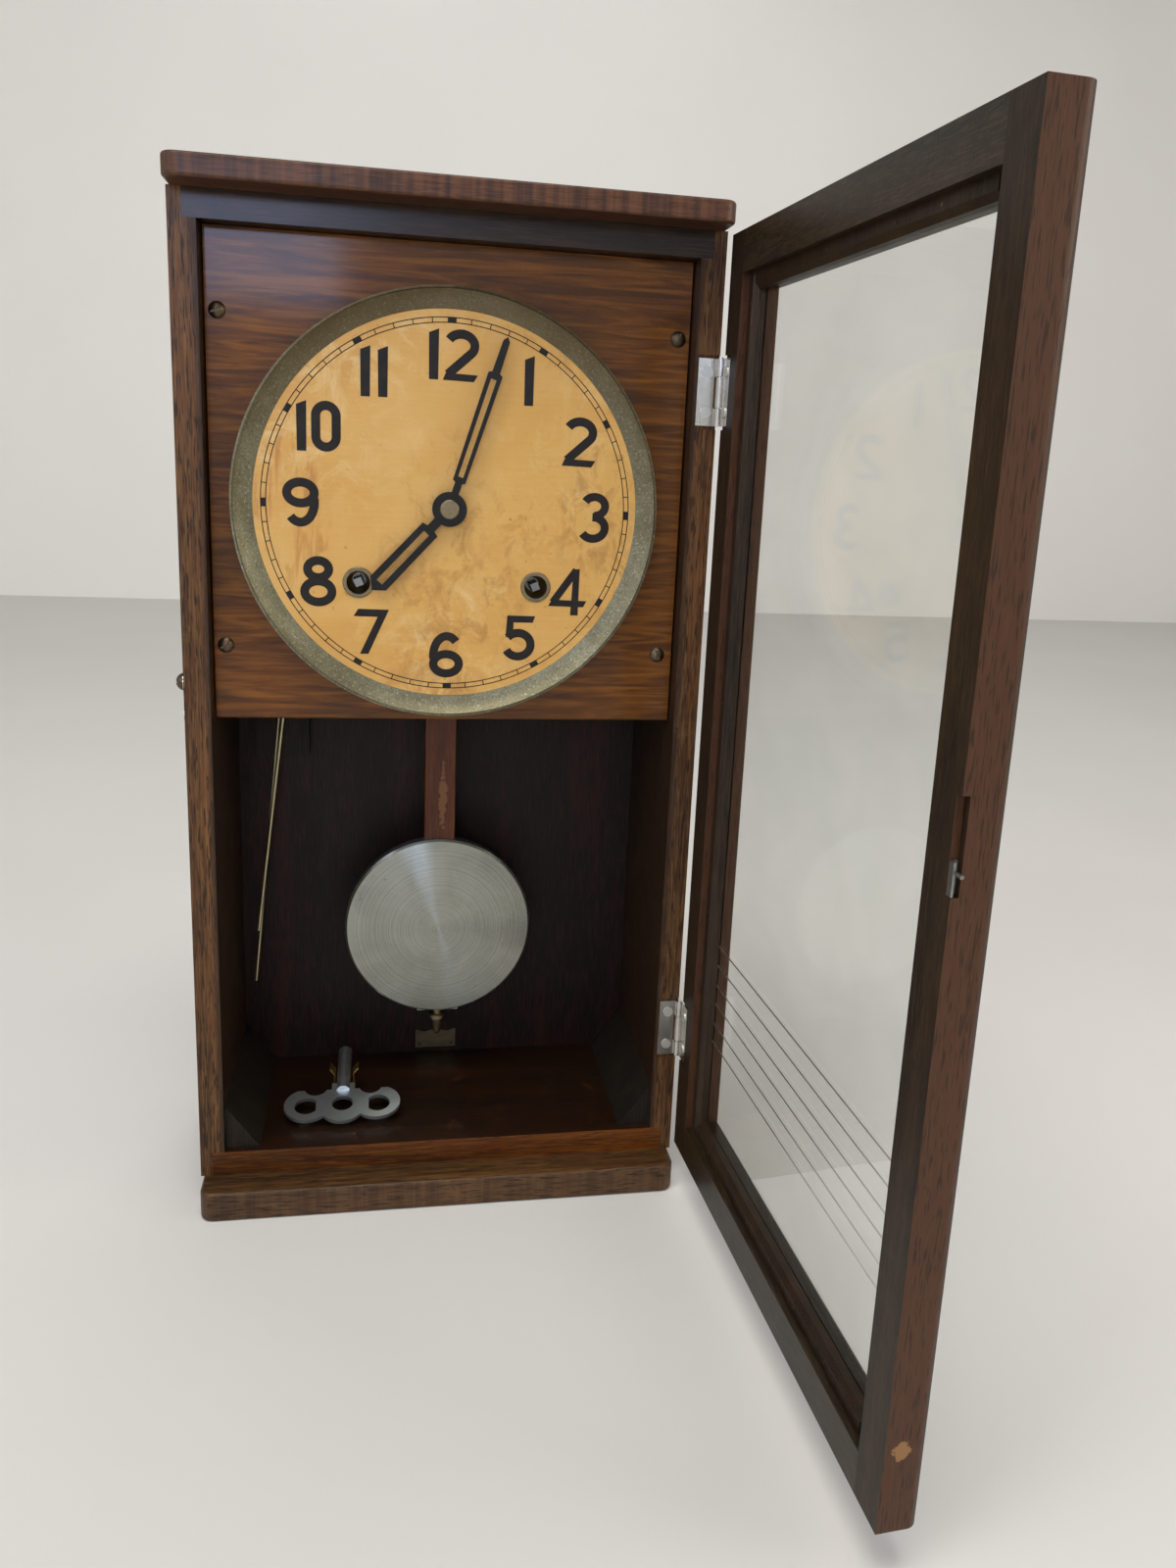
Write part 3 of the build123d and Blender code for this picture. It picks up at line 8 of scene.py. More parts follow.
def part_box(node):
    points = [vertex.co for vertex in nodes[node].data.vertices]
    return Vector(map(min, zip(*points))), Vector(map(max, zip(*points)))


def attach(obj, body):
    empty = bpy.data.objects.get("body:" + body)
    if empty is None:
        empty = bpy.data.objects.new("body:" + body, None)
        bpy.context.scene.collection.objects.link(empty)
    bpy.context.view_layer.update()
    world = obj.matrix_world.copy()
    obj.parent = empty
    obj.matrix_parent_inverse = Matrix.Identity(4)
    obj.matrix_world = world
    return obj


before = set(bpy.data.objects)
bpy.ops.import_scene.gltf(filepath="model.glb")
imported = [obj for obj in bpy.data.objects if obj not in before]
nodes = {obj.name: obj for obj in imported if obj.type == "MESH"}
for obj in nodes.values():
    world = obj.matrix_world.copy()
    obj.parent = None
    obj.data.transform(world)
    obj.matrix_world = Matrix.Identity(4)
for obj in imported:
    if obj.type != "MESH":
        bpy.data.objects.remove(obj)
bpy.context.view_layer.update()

MM = 0.001
HINGE_AXIS = (0.1303, -0.046, 0.25)
HINGE_REACH = (0.04, 0.04, 5.0)
CASE_INSIDE = 0.1176


# ---------------------------------------------------------------- looks

def rgb(red, green, blue):
    """A colour given as 0-255 screen values, in linear light."""
    made = []
    for value in (red, green, blue):
        value /= 255
        made.append(value / 12.92 if value <= 0.04045 else ((value + 0.055) / 1.055) ** 2.4)
    return (*made, 1.0)


def scaled(colour, share, lift=0.0):
    """A colour made lighter or darker."""
    return (*(min(1.0, share * part + lift) for part in colour[:3]), 1.0)


class Look:
    """A procedural material and the patterns it is built from."""

    def __init__(self, name, **settings):
        self.material = bpy.data.materials.new(name)
        self.material.use_nodes = True
        self.tree = self.material.node_tree
        self.shader = self.tree.nodes["Principled BSDF"]
        for socket, value in settings.items():
            self.shader.inputs[socket.replace("_", " ")].default_value = value
        self.place = self.node("ShaderNodeTexCoord").outputs["Object"]
        self.height = None

    def node(self, kind, **values):
        made = self.tree.nodes.new(kind)
        for key, value in values.items():
            setattr(made, key, value)
        return made

    def link(self, source, target):
        self.tree.links.new(source, target)

    def mapped(self, scale=(1, 1, 1), shift=(0, 0, 0)):
        made = self.node("ShaderNodeMapping")
        made.inputs["Scale"].default_value = scale
        made.inputs["Location"].default_value = shift
        self.link(self.place, made.inputs["Vector"])
        return made.outputs["Vector"]

    def noise(self, scale, detail=3.0, rough=0.55, warp=0.0, shift=(0, 0, 0)):
        """Noise whose features repeat about scale times a metre along x, y and z."""
        made = self.node("ShaderNodeTexNoise")
        made.inputs["Scale"].default_value = 1.0
        made.inputs["Detail"].default_value = detail
        made.inputs["Roughness"].default_value = rough
        made.inputs["Distortion"].default_value = warp
        self.link(self.mapped(scale, shift), made.inputs["Vector"])
        return made.outputs["Fac"]

    def ramp(self, value, *stops):
        """Colour stops as (position, colour), or number stops as (position, number)."""
        made = self.node("ShaderNodeValToRGB")
        marks = made.color_ramp.elements
        while len(marks) < len(stops):
            marks.new(0.5)
        for mark, (where, colour) in zip(marks, stops):
            mark.position = where
            mark.color = colour if isinstance(colour, tuple) else (colour, colour, colour, 1)
        self.link(value, made.inputs["Fac"])
        return made.outputs["Color"]

    def number(self, operation, first, second):
        made = self.node("ShaderNodeMath", operation=operation)
        for socket, value in zip(made.inputs, (first, second)):
            if isinstance(value, (int, float)):
                socket.default_value = value
            else:
                self.link(value, socket)
        return made.outputs["Value"]

    def over(self, amount, base, top, how="MIX"):
        """top laid over base by amount."""
        made = self.node("ShaderNodeMix", data_type="RGBA", blend_type=how)
        for socket, value in ((made.inputs[0], amount), (made.inputs[6], base), (made.inputs[7], top)):
            if isinstance(value, (tuple, int, float)):
                socket.default_value = value
            else:
                self.link(value, socket)
        return made.outputs[2]

    def facing(self, axis, low=0.5, high=0.8):
        """1 where the surface faces along that axis, either way."""
        split = self.node("ShaderNodeSeparateXYZ")
        self.link(self.node("ShaderNodeTexCoord").outputs["Normal"], split.inputs[0])
        size = self.number("ABSOLUTE", split.outputs[axis], 0.0)
        return self.ramp(size, (low, 0.0), (high, 1.0))

    def along(self, axis):
        """Position along one axis, in metres."""
        split = self.node("ShaderNodeSeparateXYZ")
        self.link(self.place, split.inputs[0])
        return split.outputs[axis]

    def patch(self, middle, size, ragged):
        """1 inside an uneven spot around middle, size metres across along each axis."""
        offset = self.node("ShaderNodeVectorMath", operation="SUBTRACT")
        self.link(self.place, offset.inputs[0])
        offset.inputs[1].default_value = middle
        share = self.node("ShaderNodeVectorMath", operation="DIVIDE")
        self.link(offset.outputs[0], share.inputs[0])
        share.inputs[1].default_value = size
        length = self.node("ShaderNodeVectorMath", operation="LENGTH")
        self.link(share.outputs[0], length.inputs[0])
        rough = self.noise((ragged, ragged, ragged), 3, 0.6)
        return self.ramp(self.number("ADD", length.outputs["Value"], rough), (0.92, 1.0), (1.0, 0.0))

    def paint(self, colour):
        self.link(colour, self.shader.inputs["Base Color"])

    def sheen(self, value, low, high):
        """Roughness from low to high with value."""
        made = self.node("ShaderNodeMapRange")
        made.inputs["To Min"].default_value = low
        made.inputs["To Max"].default_value = high
        self.link(value, made.inputs["Value"])
        self.link(made.outputs["Result"], self.shader.inputs["Roughness"])

    def relief(self, height, depth, strength=1.0):
        """Surface relief, depth in metres."""
        made = self.node("ShaderNodeBump")
        made.inputs["Strength"].default_value = strength
        made.inputs["Distance"].default_value = depth
        self.link(height, made.inputs["Height"])
        if self.height is not None:
            self.link(self.height, made.inputs["Normal"])
        self.height = made.outputs["Normal"]
        self.link(self.height, self.shader.inputs["Normal"])


def wood(name, grain, dark, middle, light, gloss=(0.34, 0.58), pores=0.6, coat=0.1, end=None,
         figure=None, bands=1.0, top=None, mark=None, inside_shade=None):
    """Varnished wood with its grain along one axis.

    end recolours the faces across an axis; top and inside_shade are painted shade, top darkening the upward
    faces and inside_shade the faces nearer the middle than a distance in x;
    figure adds upright stripes to the front, and mark a worn spot.
    """
    look = Look(name, Coat_Weight=coat, Coat_Roughness=0.2, Specular_IOR_Level=0.26)

    def stretch(across, with_grain):
        return tuple(with_grain if axis == grain else across for axis in range(3))

    broad = look.noise(stretch(42 * bands, 2.6), 4, 0.6, 0.8)
    streak = look.noise(stretch(420, 16), 4, 0.65, 0.2)
    fibre = look.noise(stretch(1700, 60), 2, 0.6)
    colour = look.ramp(broad, (0.30, dark), (0.52, middle), (0.74, light))
    colour = look.over(0.7, colour, look.ramp(streak, (0.36, dark), (0.64, light)), "SOFT_LIGHT")
    colour = look.over(look.ramp(fibre, (0.44, 0.0), (0.66, 0.35)), colour, light)
    if figure:
        stripes = look.noise((210, 6, 4), 3, 0.6, 0.3)
        shade = look.ramp(stripes, (0.38, figure[0]), (0.62, figure[1]))
        front = look.facing(1)
        colour = look.over(look.number("MULTIPLY", front, 0.45), colour, shade)
    # painted shade: upward faces take the top colour, which darkens the case floor inside the case
    if top:
        colour = look.over(look.facing(2), colour, look.over(0.88, colour, top))
    # painted shade: faces nearer the middle than the given x distance, the inner faces of the case sides,
    # take a dark colour
    if inside_shade:
        reach = look.number("ABSOLUTE", look.along(0), 0.0)
        colour = look.over(look.ramp(reach, (inside_shade[0], 0.9), (inside_shade[0] + 0.0004, 0.0)), colour, inside_shade[1])
    if end:
        colour = look.over(look.number("MULTIPLY", look.facing(end[0], 0.72, 0.9), end[2]), colour, end[1])
    dash = look.noise(stretch(1500, 110), 1, 0.5, 0.1, shift=(3, 7, 1))
    pore = look.ramp(dash, (0.56, 0.0), (0.66, 1.0))
    colour = look.over(look.number("MULTIPLY", pore, pores), colour, scaled(dark, 0.4))
    worn = look.noise((55, 55, 55), 5, 0.7, 0.4)
    colour = look.over(look.ramp(worn, (0.60, 0.0), (0.80, 0.25)), colour, light)
    if mark:
        colour = look.over(look.patch(*mark[:3]), colour, mark[3])
    look.paint(colour)
    look.sheen(worn, *gloss)
    look.relief(fibre, 0.00006, 0.5)
    look.relief(pore, 0.00012, -0.6)
    look.relief(look.noise((520, 520, 520), 2, 0.5), 0.0001, 0.5)
    return look.material


def metal(name, colour, tarnish, rough=(0.22, 0.45), amount=0.35, speckle=0.0, brushed=None, spots=None,
          hinge=None):
    """Worn bare or plated metal, with another colour near the hinges where one is given."""
    look = Look(name, Metallic=1.0)
    cloud = look.noise((60, 60, 60), 5, 0.65, 0.5)
    base = look.over(look.ramp(cloud, (0.40, 0.0), (0.72, amount)), colour, tarnish)
    if speckle:
        fine = look.noise((1300, 1300, 1300), 2, 0.6)
        base = look.over(look.ramp(fine, (0.50, 0.0), (0.66, speckle)), base, spots or tarnish)
    if hinge:
        base = look.over(look.patch(HINGE_AXIS, HINGE_REACH, 1), base, hinge)
    look.paint(base)
    look.sheen(cloud, *rough)
    if brushed:
        look.relief(look.noise(brushed, 2, 0.6), 0.00003, 0.35)
    else:
        look.relief(look.noise((900, 900, 900), 3, 0.6), 0.00003, 0.3)
    return look.material


# The inner faces of the case sides are painted dark brown as shade inside the case.
case_z = wood("case_wood_upright", 2, rgb(62, 42, 22), rgb(104, 74, 42), rgb(150, 112, 68),
              pores=0.95, coat=0.05, inside_shade=(CASE_INSIDE, rgb(30, 19, 12)))
case_x = wood("case_wood_level", 0, rgb(34, 22, 15), rgb(54, 37, 24), rgb(80, 56, 37), pores=0.6, coat=0.25,
              gloss=(0.3, 0.45))
trim_x = wood("trim_wood", 0, rgb(56, 39, 22), rgb(90, 65, 37), rgb(134, 100, 60), pores=0.85, coat=0.04,
              figure=(rgb(56, 40, 29), rgb(98, 72, 48)))
cap_x = wood("cap_wood", 0, rgb(60, 40, 29), rgb(88, 60, 43), rgb(118, 82, 57), pores=0.45, coat=0.08,
             figure=(rgb(62, 42, 35), rgb(122, 80, 52)))
# The case floor's upward face is painted near-black as shade inside the case.
floor_x = wood("floor_wood", 0, rgb(62, 35, 7), rgb(100, 58, 14), rgb(146, 94, 28), pores=0.6, coat=0.03,
               top=rgb(11, 6, 4))
back_z = wood("back_wood", 2, rgb(20, 10, 6), rgb(36, 19, 11), rgb(76, 38, 20), gloss=(0.4, 0.65), pores=0.7,
              coat=0.0)
block = wood("block_wood", 2, rgb(20, 15, 10), rgb(36, 28, 19), rgb(62, 50, 35),
             gloss=(0.5, 0.75), pores=0.4, coat=0.0)
door_z = wood("door_wood_upright", 2, rgb(30, 21, 12), rgb(52, 37, 22), rgb(80, 60, 37), gloss=(0.4, 0.6),
              pores=0.6, coat=0.03, end=(1, rgb(92, 56, 34), 0.6),
              mark=((0.1530, -0.3069, 0.058), (0.007, 0.006, 0.0085), 520, rgb(142, 104, 64)))
door_y = wood("door_wood_level", 1, rgb(36, 28, 17), rgb(60, 47, 30), rgb(86, 69, 46), gloss=(0.32, 0.5),
              pores=0.55, coat=0.05)
bead_z = wood("bead_wood", 2, rgb(36, 26, 17), rgb(58, 43, 28), rgb(84, 64, 43),
              gloss=(0.4, 0.6), pores=0.5, coat=0.0)
rod_z = wood("rod_wood", 2, rgb(70, 36, 13), rgb(98, 54, 22), rgb(126, 74, 34), gloss=(0.3, 0.45), pores=0.35,
             coat=0.1, mark=((-0.0005, 0.0205, 0.209), (0.005, 0.02, 0.034), 320, rgb(124, 80, 48)))


def panel_look():
    """Golden figured veneer with level tiger stripes under crazed varnish."""
    look = Look("panel_wood", Coat_Weight=0.3, Coat_Roughness=0.1, Specular_IOR_Level=0.18)
    stripes = look.noise((14, 8, 190), 3, 0.55, 1.6)
    fine = look.noise((26, 30, 900), 4, 0.65, 0.2)
    broad = look.noise((6, 9, 9), 3, 0.6, 0.6)
    colour = look.ramp(stripes, (0.34, rgb(88, 54, 12)), (0.50, rgb(114, 72, 17)), (0.66, rgb(144, 96, 28)))
    thread = look.ramp(fine, (0.35, rgb(100, 66, 22)), (0.65, rgb(160, 116, 48)))
    colour = look.over(0.5, colour, thread, "SOFT_LIGHT")
    colour = look.over(look.ramp(broad, (0.46, 0.0), (0.70, 0.35)), colour, rgb(66, 42, 8))
    worn = look.noise((70, 70, 70), 5, 0.7, 0.6)
    look.paint(colour)
    look.sheen(worn, 0.24, 0.42)
    look.relief(fine, 0.00005, 0.4)
    look.relief(look.noise((260, 260, 420), 4, 0.66, 1.6), 0.0004, 0.6)
    return look.material


def dial_look():
    """Aged cream dial with brown stains."""
    look = Look("dial_enamel", Roughness=0.4, Specular_IOR_Level=0.35)
    tone = look.noise((9, 9, 9), 4, 0.6, 0.4)
    colour = look.ramp(tone, (0.32, rgb(204, 151, 74)), (0.52, rgb(214, 164, 86)), (0.72, rgb(222, 178, 104)))
    rubbed = look.noise((60, 60, 60), 6, 0.74, 0.9)
    pale = look.noise((12, 12, 12), 2, 0.5, 0.3, shift=(2.2, 0, 0.6))
    colour = look.over(look.number("MULTIPLY", look.ramp(rubbed, (0.48, 0.0), (0.66, 0.7)),
                                   look.ramp(pale, (0.42, 0.15), (0.60, 1.0))), colour, rgb(232, 202, 142))
    patches = look.ramp(look.noise((18, 18, 14), 2, 0.5, 0.2, shift=(1, 5, 2)), (0.46, 0.0), (0.62, 1.0))
    stain = look.ramp(look.noise((90, 90, 60), 5, 0.72, 0.8, shift=(4, 1, 9)), (0.48, 0.0), (0.64, 0.5))
    colour = look.over(look.number("MULTIPLY", stain, patches), colour, rgb(150, 96, 36))
    drips = look.noise((150, 150, 22), 4, 0.65, 0.5, shift=(7, 2, 3))
    side = look.patch((-0.078, -0.0385, 0.372), (0.034, 0.1, 0.075), 30)
    colour = look.over(look.number("MULTIPLY", look.ramp(drips, (0.48, 0.0), (0.62, 0.7)), side), colour,
                       rgb(180, 118, 52))
    specks = look.noise((260, 260, 260), 3, 0.65)
    colour = look.over(look.ramp(specks, (0.66, 0.0), (0.74, 0.6)), colour, rgb(136, 86, 40))
    streaks = look.noise((26, 26, 620), 3, 0.6)
    colour = look.over(0.05, colour, look.ramp(streaks, (0.3, rgb(190, 140, 74)), (0.7, rgb(248, 220, 160))))
    look.paint(colour)
    look.relief(look.noise((300, 300, 300), 3, 0.6), 0.00004, 0.3)
    return look.material


def bob_look():
    """Turned metal disc whose fine rings run round its middle."""
    look = Look("bob_metal", Metallic=1.0, Anisotropic=0.95, Anisotropic_Rotation=0.25)
    tangent = look.node("ShaderNodeTangent", direction_type="RADIAL", axis="Y")
    look.link(tangent.outputs["Tangent"], look.shader.inputs["Tangent"])
    low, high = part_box("pendulum_bob")
    middle = (low + high) / 2
    centred = look.mapped((1, 0, 1), (-middle.x, 0, -middle.z))
    length = look.node("ShaderNodeVectorMath", operation="LENGTH")
    look.link(centred, length.inputs[0])
    radius = length.outputs["Value"]
    rings = look.node("ShaderNodeTexNoise", noise_dimensions="1D")
    rings.inputs["Scale"].default_value = 1500
    rings.inputs["Detail"].default_value = 3
    look.link(radius, rings.inputs["W"])
    cloud = look.noise((30, 30, 30), 5, 0.65, 0.6)
    colour = look.over(look.ramp(cloud, (0.4, 0.0), (0.75, 0.45)), rgb(160, 162, 154), rgb(118, 118, 106))
    turned = look.ramp(rings.outputs["Fac"], (0.35, rgb(90, 90, 84)), (0.65, rgb(240, 240, 234)))
    colour = look.over(0.32, colour, turned, "SOFT_LIGHT")
    spots = look.noise((260, 260, 260), 3, 0.6, 0.2)
    colour = look.over(look.ramp(spots, (0.68, 0.0), (0.76, 0.6)), colour, rgb(96, 90, 76))
    look.paint(colour)
    look.sheen(cloud, 0.22, 0.3)
    look.relief(rings.outputs["Fac"], 0.00002, 0.35)
    return look.material


def zinc_look():
    """Dull galvanised sheet with a green-grey bloom and dark speckles, painted darker brown towards the top
    as shade.
    """
    look = Look("zinc", Metallic=0.8)
    cloud = look.noise((40, 40, 40), 5, 0.65, 0.5)
    colour = look.ramp(cloud, (0.30, rgb(112, 104, 78)), (0.55, rgb(134, 128, 102)),
                       (0.78, rgb(156, 152, 128)))
    speckle = look.noise((1100, 1100, 1100), 3, 0.7)
    colour = look.over(look.ramp(speckle, (0.50, 0.0), (0.62, 0.6)), colour, rgb(84, 90, 76))
    pale = look.noise((800, 800, 800), 3, 0.7, 0.0, shift=(8, 3, 5))
    colour = look.over(look.ramp(pale, (0.56, 0.0), (0.68, 0.5)), colour, rgb(190, 196, 184))
    # painted shade: the upper part of the bezel is darkened brown, more so higher up
    top_shade = look.ramp(look.along(2), (0.38, 0.0), (0.46, 0.62))
    look.paint(look.over(top_shade, colour, rgb(92, 74, 46)))
    look.sheen(speckle, 0.42, 0.62)
    look.relief(speckle, 0.00006, 0.5)
    return look.material


def enamel(name, colour, rough):
    look = Look(name, Specular_IOR_Level=0.3)
    wear = look.noise((140, 140, 140), 4, 0.65)
    look.paint(look.ramp(wear, (0.35, colour), (0.80, scaled(colour, 2.2, 0.004))))
    look.sheen(wear, *rough)
    look.relief(look.noise((800, 800, 800), 2, 0.5), 0.00003, 0.3)
    return look.material


def glass_look():
    look = Look("glass", Transmission_Weight=1.0, IOR=1.22, Roughness=0.0)
    smear = look.noise((16, 16, 22), 4, 0.6, 0.5)
    look.paint(look.ramp(smear, (0.3, rgb(242, 246, 243)), (0.7, rgb(251, 253, 251))))
    look.sheen(smear, 0.0, 0.03)
    return look.material


nickel = metal("nickel_bright", rgb(206, 204, 198), rgb(150, 144, 130), rough=(0.14, 0.30), amount=0.3,
               brushed=(120, 900, 900))
key_metal = metal("nickel_key", rgb(222, 228, 230), rgb(170, 176, 178), rough=(0.3, 0.45), amount=0.35)
dull_nickel = metal("nickel_dull", rgb(142, 128, 100), rgb(88, 76, 54), rough=(0.3, 0.5), amount=0.6,
                    speckle=0.35)
steel = metal("steel", rgb(150, 150, 148), rgb(92, 86, 76), rough=(0.28, 0.46), amount=0.45, speckle=0.2)
gong_wire = metal("gong_wire", rgb(206, 194, 154), rgb(150, 134, 92), rough=(0.3, 0.5), amount=0.4)
dark_steel = metal("steel_browned", rgb(112, 98, 78), rgb(66, 52, 38), rough=(0.32, 0.5), amount=0.6,
                   speckle=0.4, hinge=rgb(214, 212, 204))
aged_brass = metal("brass_aged", rgb(92, 74, 42), rgb(50, 40, 24), rough=(0.4, 0.6), amount=0.6)
brass = metal("brass", rgb(206, 170, 96), rgb(140, 104, 50), rough=(0.24, 0.42), amount=0.45)
blued = metal("spring_steel", rgb(84, 92, 112), rgb(60, 56, 60), rough=(0.25, 0.4), amount=0.4)
black = enamel("hand_black", rgb(13, 12, 11), (0.3, 0.45))
ink = enamel("dial_ink", rgb(20, 15, 12), (0.45, 0.6))
silver_line = metal("silver_line", rgb(214, 214, 210), rgb(170, 168, 160), rough=(0.3, 0.5), amount=0.3)
panel = panel_look()
dial = dial_look()
bob = bob_look()
zinc = zinc_look()
glass = glass_look()

# The nodes of each finish; every other node is bright brass.
worn_by = [
    (case_z, ["left_side", "right_side"]),
    (floor_x, ["case_floor"]),
    (case_x, ["case_top"]),
    (trim_x, ["base_board"]),
    (cap_x, ["top_cap"]),
    (back_z, ["back_panel"]),
    (dark_steel, ["hanger_plate", "case_fasteners", "door_fasteners"]),
    (block, ["glue_blocks"]),
    (panel, ["dial_panel"]),
    (zinc, ["dial_pan"]),
    (dial, ["dial_plate"]),
    (dull_nickel, ["winding_eyelets", "beat_plate", "hand_nut", "rating_nut"]),
    (nickel, ["hinge_case_leaves", "hinge_pins", "hinge_door_leaves", "side_hook"]),
    (gong_wire, ["gong"]),
    (aged_brass, ["movement_front_plate"]),
    (blued, ["mainsprings"]),
    (door_z, ["door_hinge_stile", "door_latch_stile"]),
    (door_y, ["door_top_rail", "door_bottom_rail"]),
    (glass, ["door_glass"]),
    (bead_z, ["glazing_beads"]),
    (steel, [
        "latch_keeper", "suspension_spring", "anchor", "time_click", "strike_click",
        "time_winding_arbor", "strike_winding_arbor", "strike_fly", "hammer",
    ]),
    (key_metal, ["winding_key"]),
    (black, ["minute_hand", "hour_hand"]),
    (rod_z, ["pendulum_rod"]),
    (bob, ["pendulum_bob"]),
]
finish = {name: material for material, names in worn_by for name in names}
for name, node in nodes.items():
    chosen = finish.get(name, brass)
    node.data.materials.clear()
    node.data.materials.append(chosen)


# ---------------------------------------------------------------- printing on the dial

def arc(x, z, wide, tall, start, end, steps=28):
    """Points on an ellipse from start to end, in degrees from +x towards +z."""
    turns = [radians(start + (end - start) * i / steps) for i in range(steps + 1)]
    return [(x + wide * cos(turn), z + tall * sin(turn)) for turn in turns]


def band(path, width, closed=False):
    """Four-sided faces that follow a path at constant width."""
    count = len(path)
    sides = []
    for i, (x, z) in enumerate(path):
        before = path[i - 1] if closed or i else path[0]
        after = path[(i + 1) % count] if closed or i < count - 1 else path[-1]
        dx, dz = after[0] - before[0], after[1] - before[1]
        size = hypot(dx, dz)
        across = (-dz / size * width / 2, dx / size * width / 2)
        sides.append(((x + across[0], z + across[1]), (x - across[0], z - across[1])))
    pairs = list(zip(sides, sides[1:] + (sides[:1] if closed else [])))
    return [(a[0], b[0], b[1], a[1]) for a, b in pairs]


LAYER = 0.012
SAME_PLACE = 0.000002


def mark(name, strokes, y, thickness, material, body, slot):
    """Thin raised print from lists of faces of (x, z) millimetres, each list prouder than the last."""
    mesh = bpy.data.meshes.new(name)
    piece = bpy.data.objects.new(name, mesh)
    bpy.context.scene.collection.objects.link(piece)
    form = bmesh.new()
    for layer, faces in enumerate(strokes):
        drawn = [
            form.faces.new([form.verts.new((x * MM, y * MM, z * MM)) for x, z in face])
            for face in faces
        ]
        corners = list({vertex for face in drawn for vertex in face.verts})
        bmesh.ops.remove_doubles(form, verts=corners, dist=SAME_PLACE)
        flat = [
            face for face in form.faces
            if not face.tag and all(abs(v.co.y - y * MM) < 1e-9 for v in face.verts)
        ]
        raised = bmesh.ops.extrude_face_region(form, geom=flat)
        moved = [part for part in raised["geom"] if isinstance(part, bmesh.types.BMVert)]
        bmesh.ops.translate(form, verts=moved, vec=(0, -(thickness + LAYER * layer) * MM, 0))
        for face in form.faces:
            face.tag = True
    bmesh.ops.recalc_face_normals(form, faces=form.faces[:])
    form.to_mesh(mesh)
    form.free()
    mesh.materials.append(material)
    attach(piece, body)
    return piece


STROKE = 4.3
DIGITS = {
    "0": [band(arc(0, 4.9, 4.8, 4.8, 0, 180) + arc(0, -4.9, 4.8, 4.8, 180, 360), STROKE, True)],
    "1": [[((-2.2, -11.7), (2.2, -11.7), (2.4, 11.9), (-2.4, 9.9))]],
    "2": [
        band(arc(-0.1, 4.6, 6.5, 5.3, 152, -38) + [(-6.4, -9.0)], STROKE),
        [((-8.8, -11.7), (-7.4, -8.3), (8.2, -8.8), (6.2, -12.0))],
    ],
    "3": [
        band(arc(0.8, 5.7, 5.4, 4.7, 152, -92), STROKE * 0.96),
        band(arc(0.3, -5.1, 6.2, 5.4, 94, -148), STROKE * 0.98),
    ],
    "4": [
        [((1.4, -11.9), (5.4, -11.9), (5.6, 12.0), (2.4, 11.7))],
        band([(3.9, 11.4), (-7.9, -5.4)], 3.8),
        [((-10.2, -7.3), (-8.2, -4.0), (9.7, -4.4), (8.0, -7.6))],
    ],
    "5": [
        [((-5.9, 11.6), (-5.6, 8.1), (7.2, 8.1), (8.4, 11.5))],
        [((-6.0, 11.6), (-2.6, 11.4), (-2.7, 2.0), (-6.6, 0.2))],
        band(arc(-0.2, -3.4, 6.6, 6.1, 143, -152), STROKE),
    ],
    "6": [
        band(arc(0.1, -4.7, 6.5, 5.0, 0, 360)[:-1], STROKE, True),
        band(arc(0.3, -0.4, 6.7, 9.9, 46, 190), STROKE),
    ],
    "7": [
        [((-8.7, 7.6), (-6.4, 11.3), (8.7, 11.1), (6.4, 7.4))],
        [((4.0, 9.4), (8.7, 11.1), (-1.4, -11.4), (-5.6, -11.4))],
    ],
    "8": [
        band(arc(0, 5.9, 5.1, 4.2, 0, 360)[:-1], STROKE, True),
        band(arc(0, -5.2, 6.6, 5.2, 0, 360)[:-1], STROKE, True),
    ],
}
DIGITS["9"] = [[tuple((-x, -z) for x, z in face) for face in faces] for faces in DIGITS["6"]]

# Each digit's place from the middle of the dial, in millimetres.
PLACES = {
    "12": [("1", -8.5, 73.2), ("2", 4.7, 73.2)],
    "1": [("1", 38.0, 63.2)],
    "2": [("2", 64.3, 35.3)],
    "3": [("3", 72.3, -1.6)],
    "4": [("4", 61.2, -39.7)],
    "5": [("5", 36.2, -64.0)],
    "6": [("6", -0.6, -73.2)],
    "7": [("7", -38.0, -62.0)],
    "8": [("8", -63.7, -37.4)],
    "9": [("9", -71.6, 0.5)],
    "10": [("1", -70.9, 36.7), ("0", -59.4, 36.9)],
    "11": [("1", -40.9, 63.5), ("1", -32.6, 63.6)],
}

plate_low, plate_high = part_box("dial_plate")
dial_x = (plate_low.x + plate_high.x) / 2 / MM
dial_z = (plate_low.z + plate_high.z) / 2 / MM
dial_y = plate_low.y / MM

for hour, digits in PLACES.items():
    strokes = [
        [[(dial_x + x + px, dial_z + z + pz) for px, pz in face] for face in group]
        for digit, x, z in digits for group in DIGITS[digit]
    ]
    mark("numeral_" + hour, strokes, dial_y, 0.06, ink, "case", "black_hands")

TRACK = (88.1, 90.5)
TRACK_LINE = 0.46
TRACK_BLOCK = 4.2
track = []
for radius in TRACK:
    loop = arc(dial_x, dial_z, radius, radius, 0, 360, 240)[:-1]
    track.append(band(loop, TRACK_LINE, True))
ticks = []
for minute in range(60):
    turn = radians(90 - 6 * minute)
    wide = TRACK_BLOCK if minute % 5 == 0 else TRACK_LINE
    ray = (cos(turn), sin(turn))
    ends = [(dial_x + ray[0] * r, dial_z + ray[1] * r) for r in TRACK]
    ticks += band(ends, wide)
mark("minute_track", track + [ticks], dial_y, 0.05, ink, "case", "black_hands")


# ---------------------------------------------------------------- lines on the glass

LINE_STEPS = 40
LINE_INSET = 0.0055
LINE_LIFT = 0.00004
LINE_THICKNESS = 0.0001
LINE_HEIGHT = 0.0009
LINE_PLACES = (153.0, 142.0, 130.5, 120.0, 108.5, 98.0)


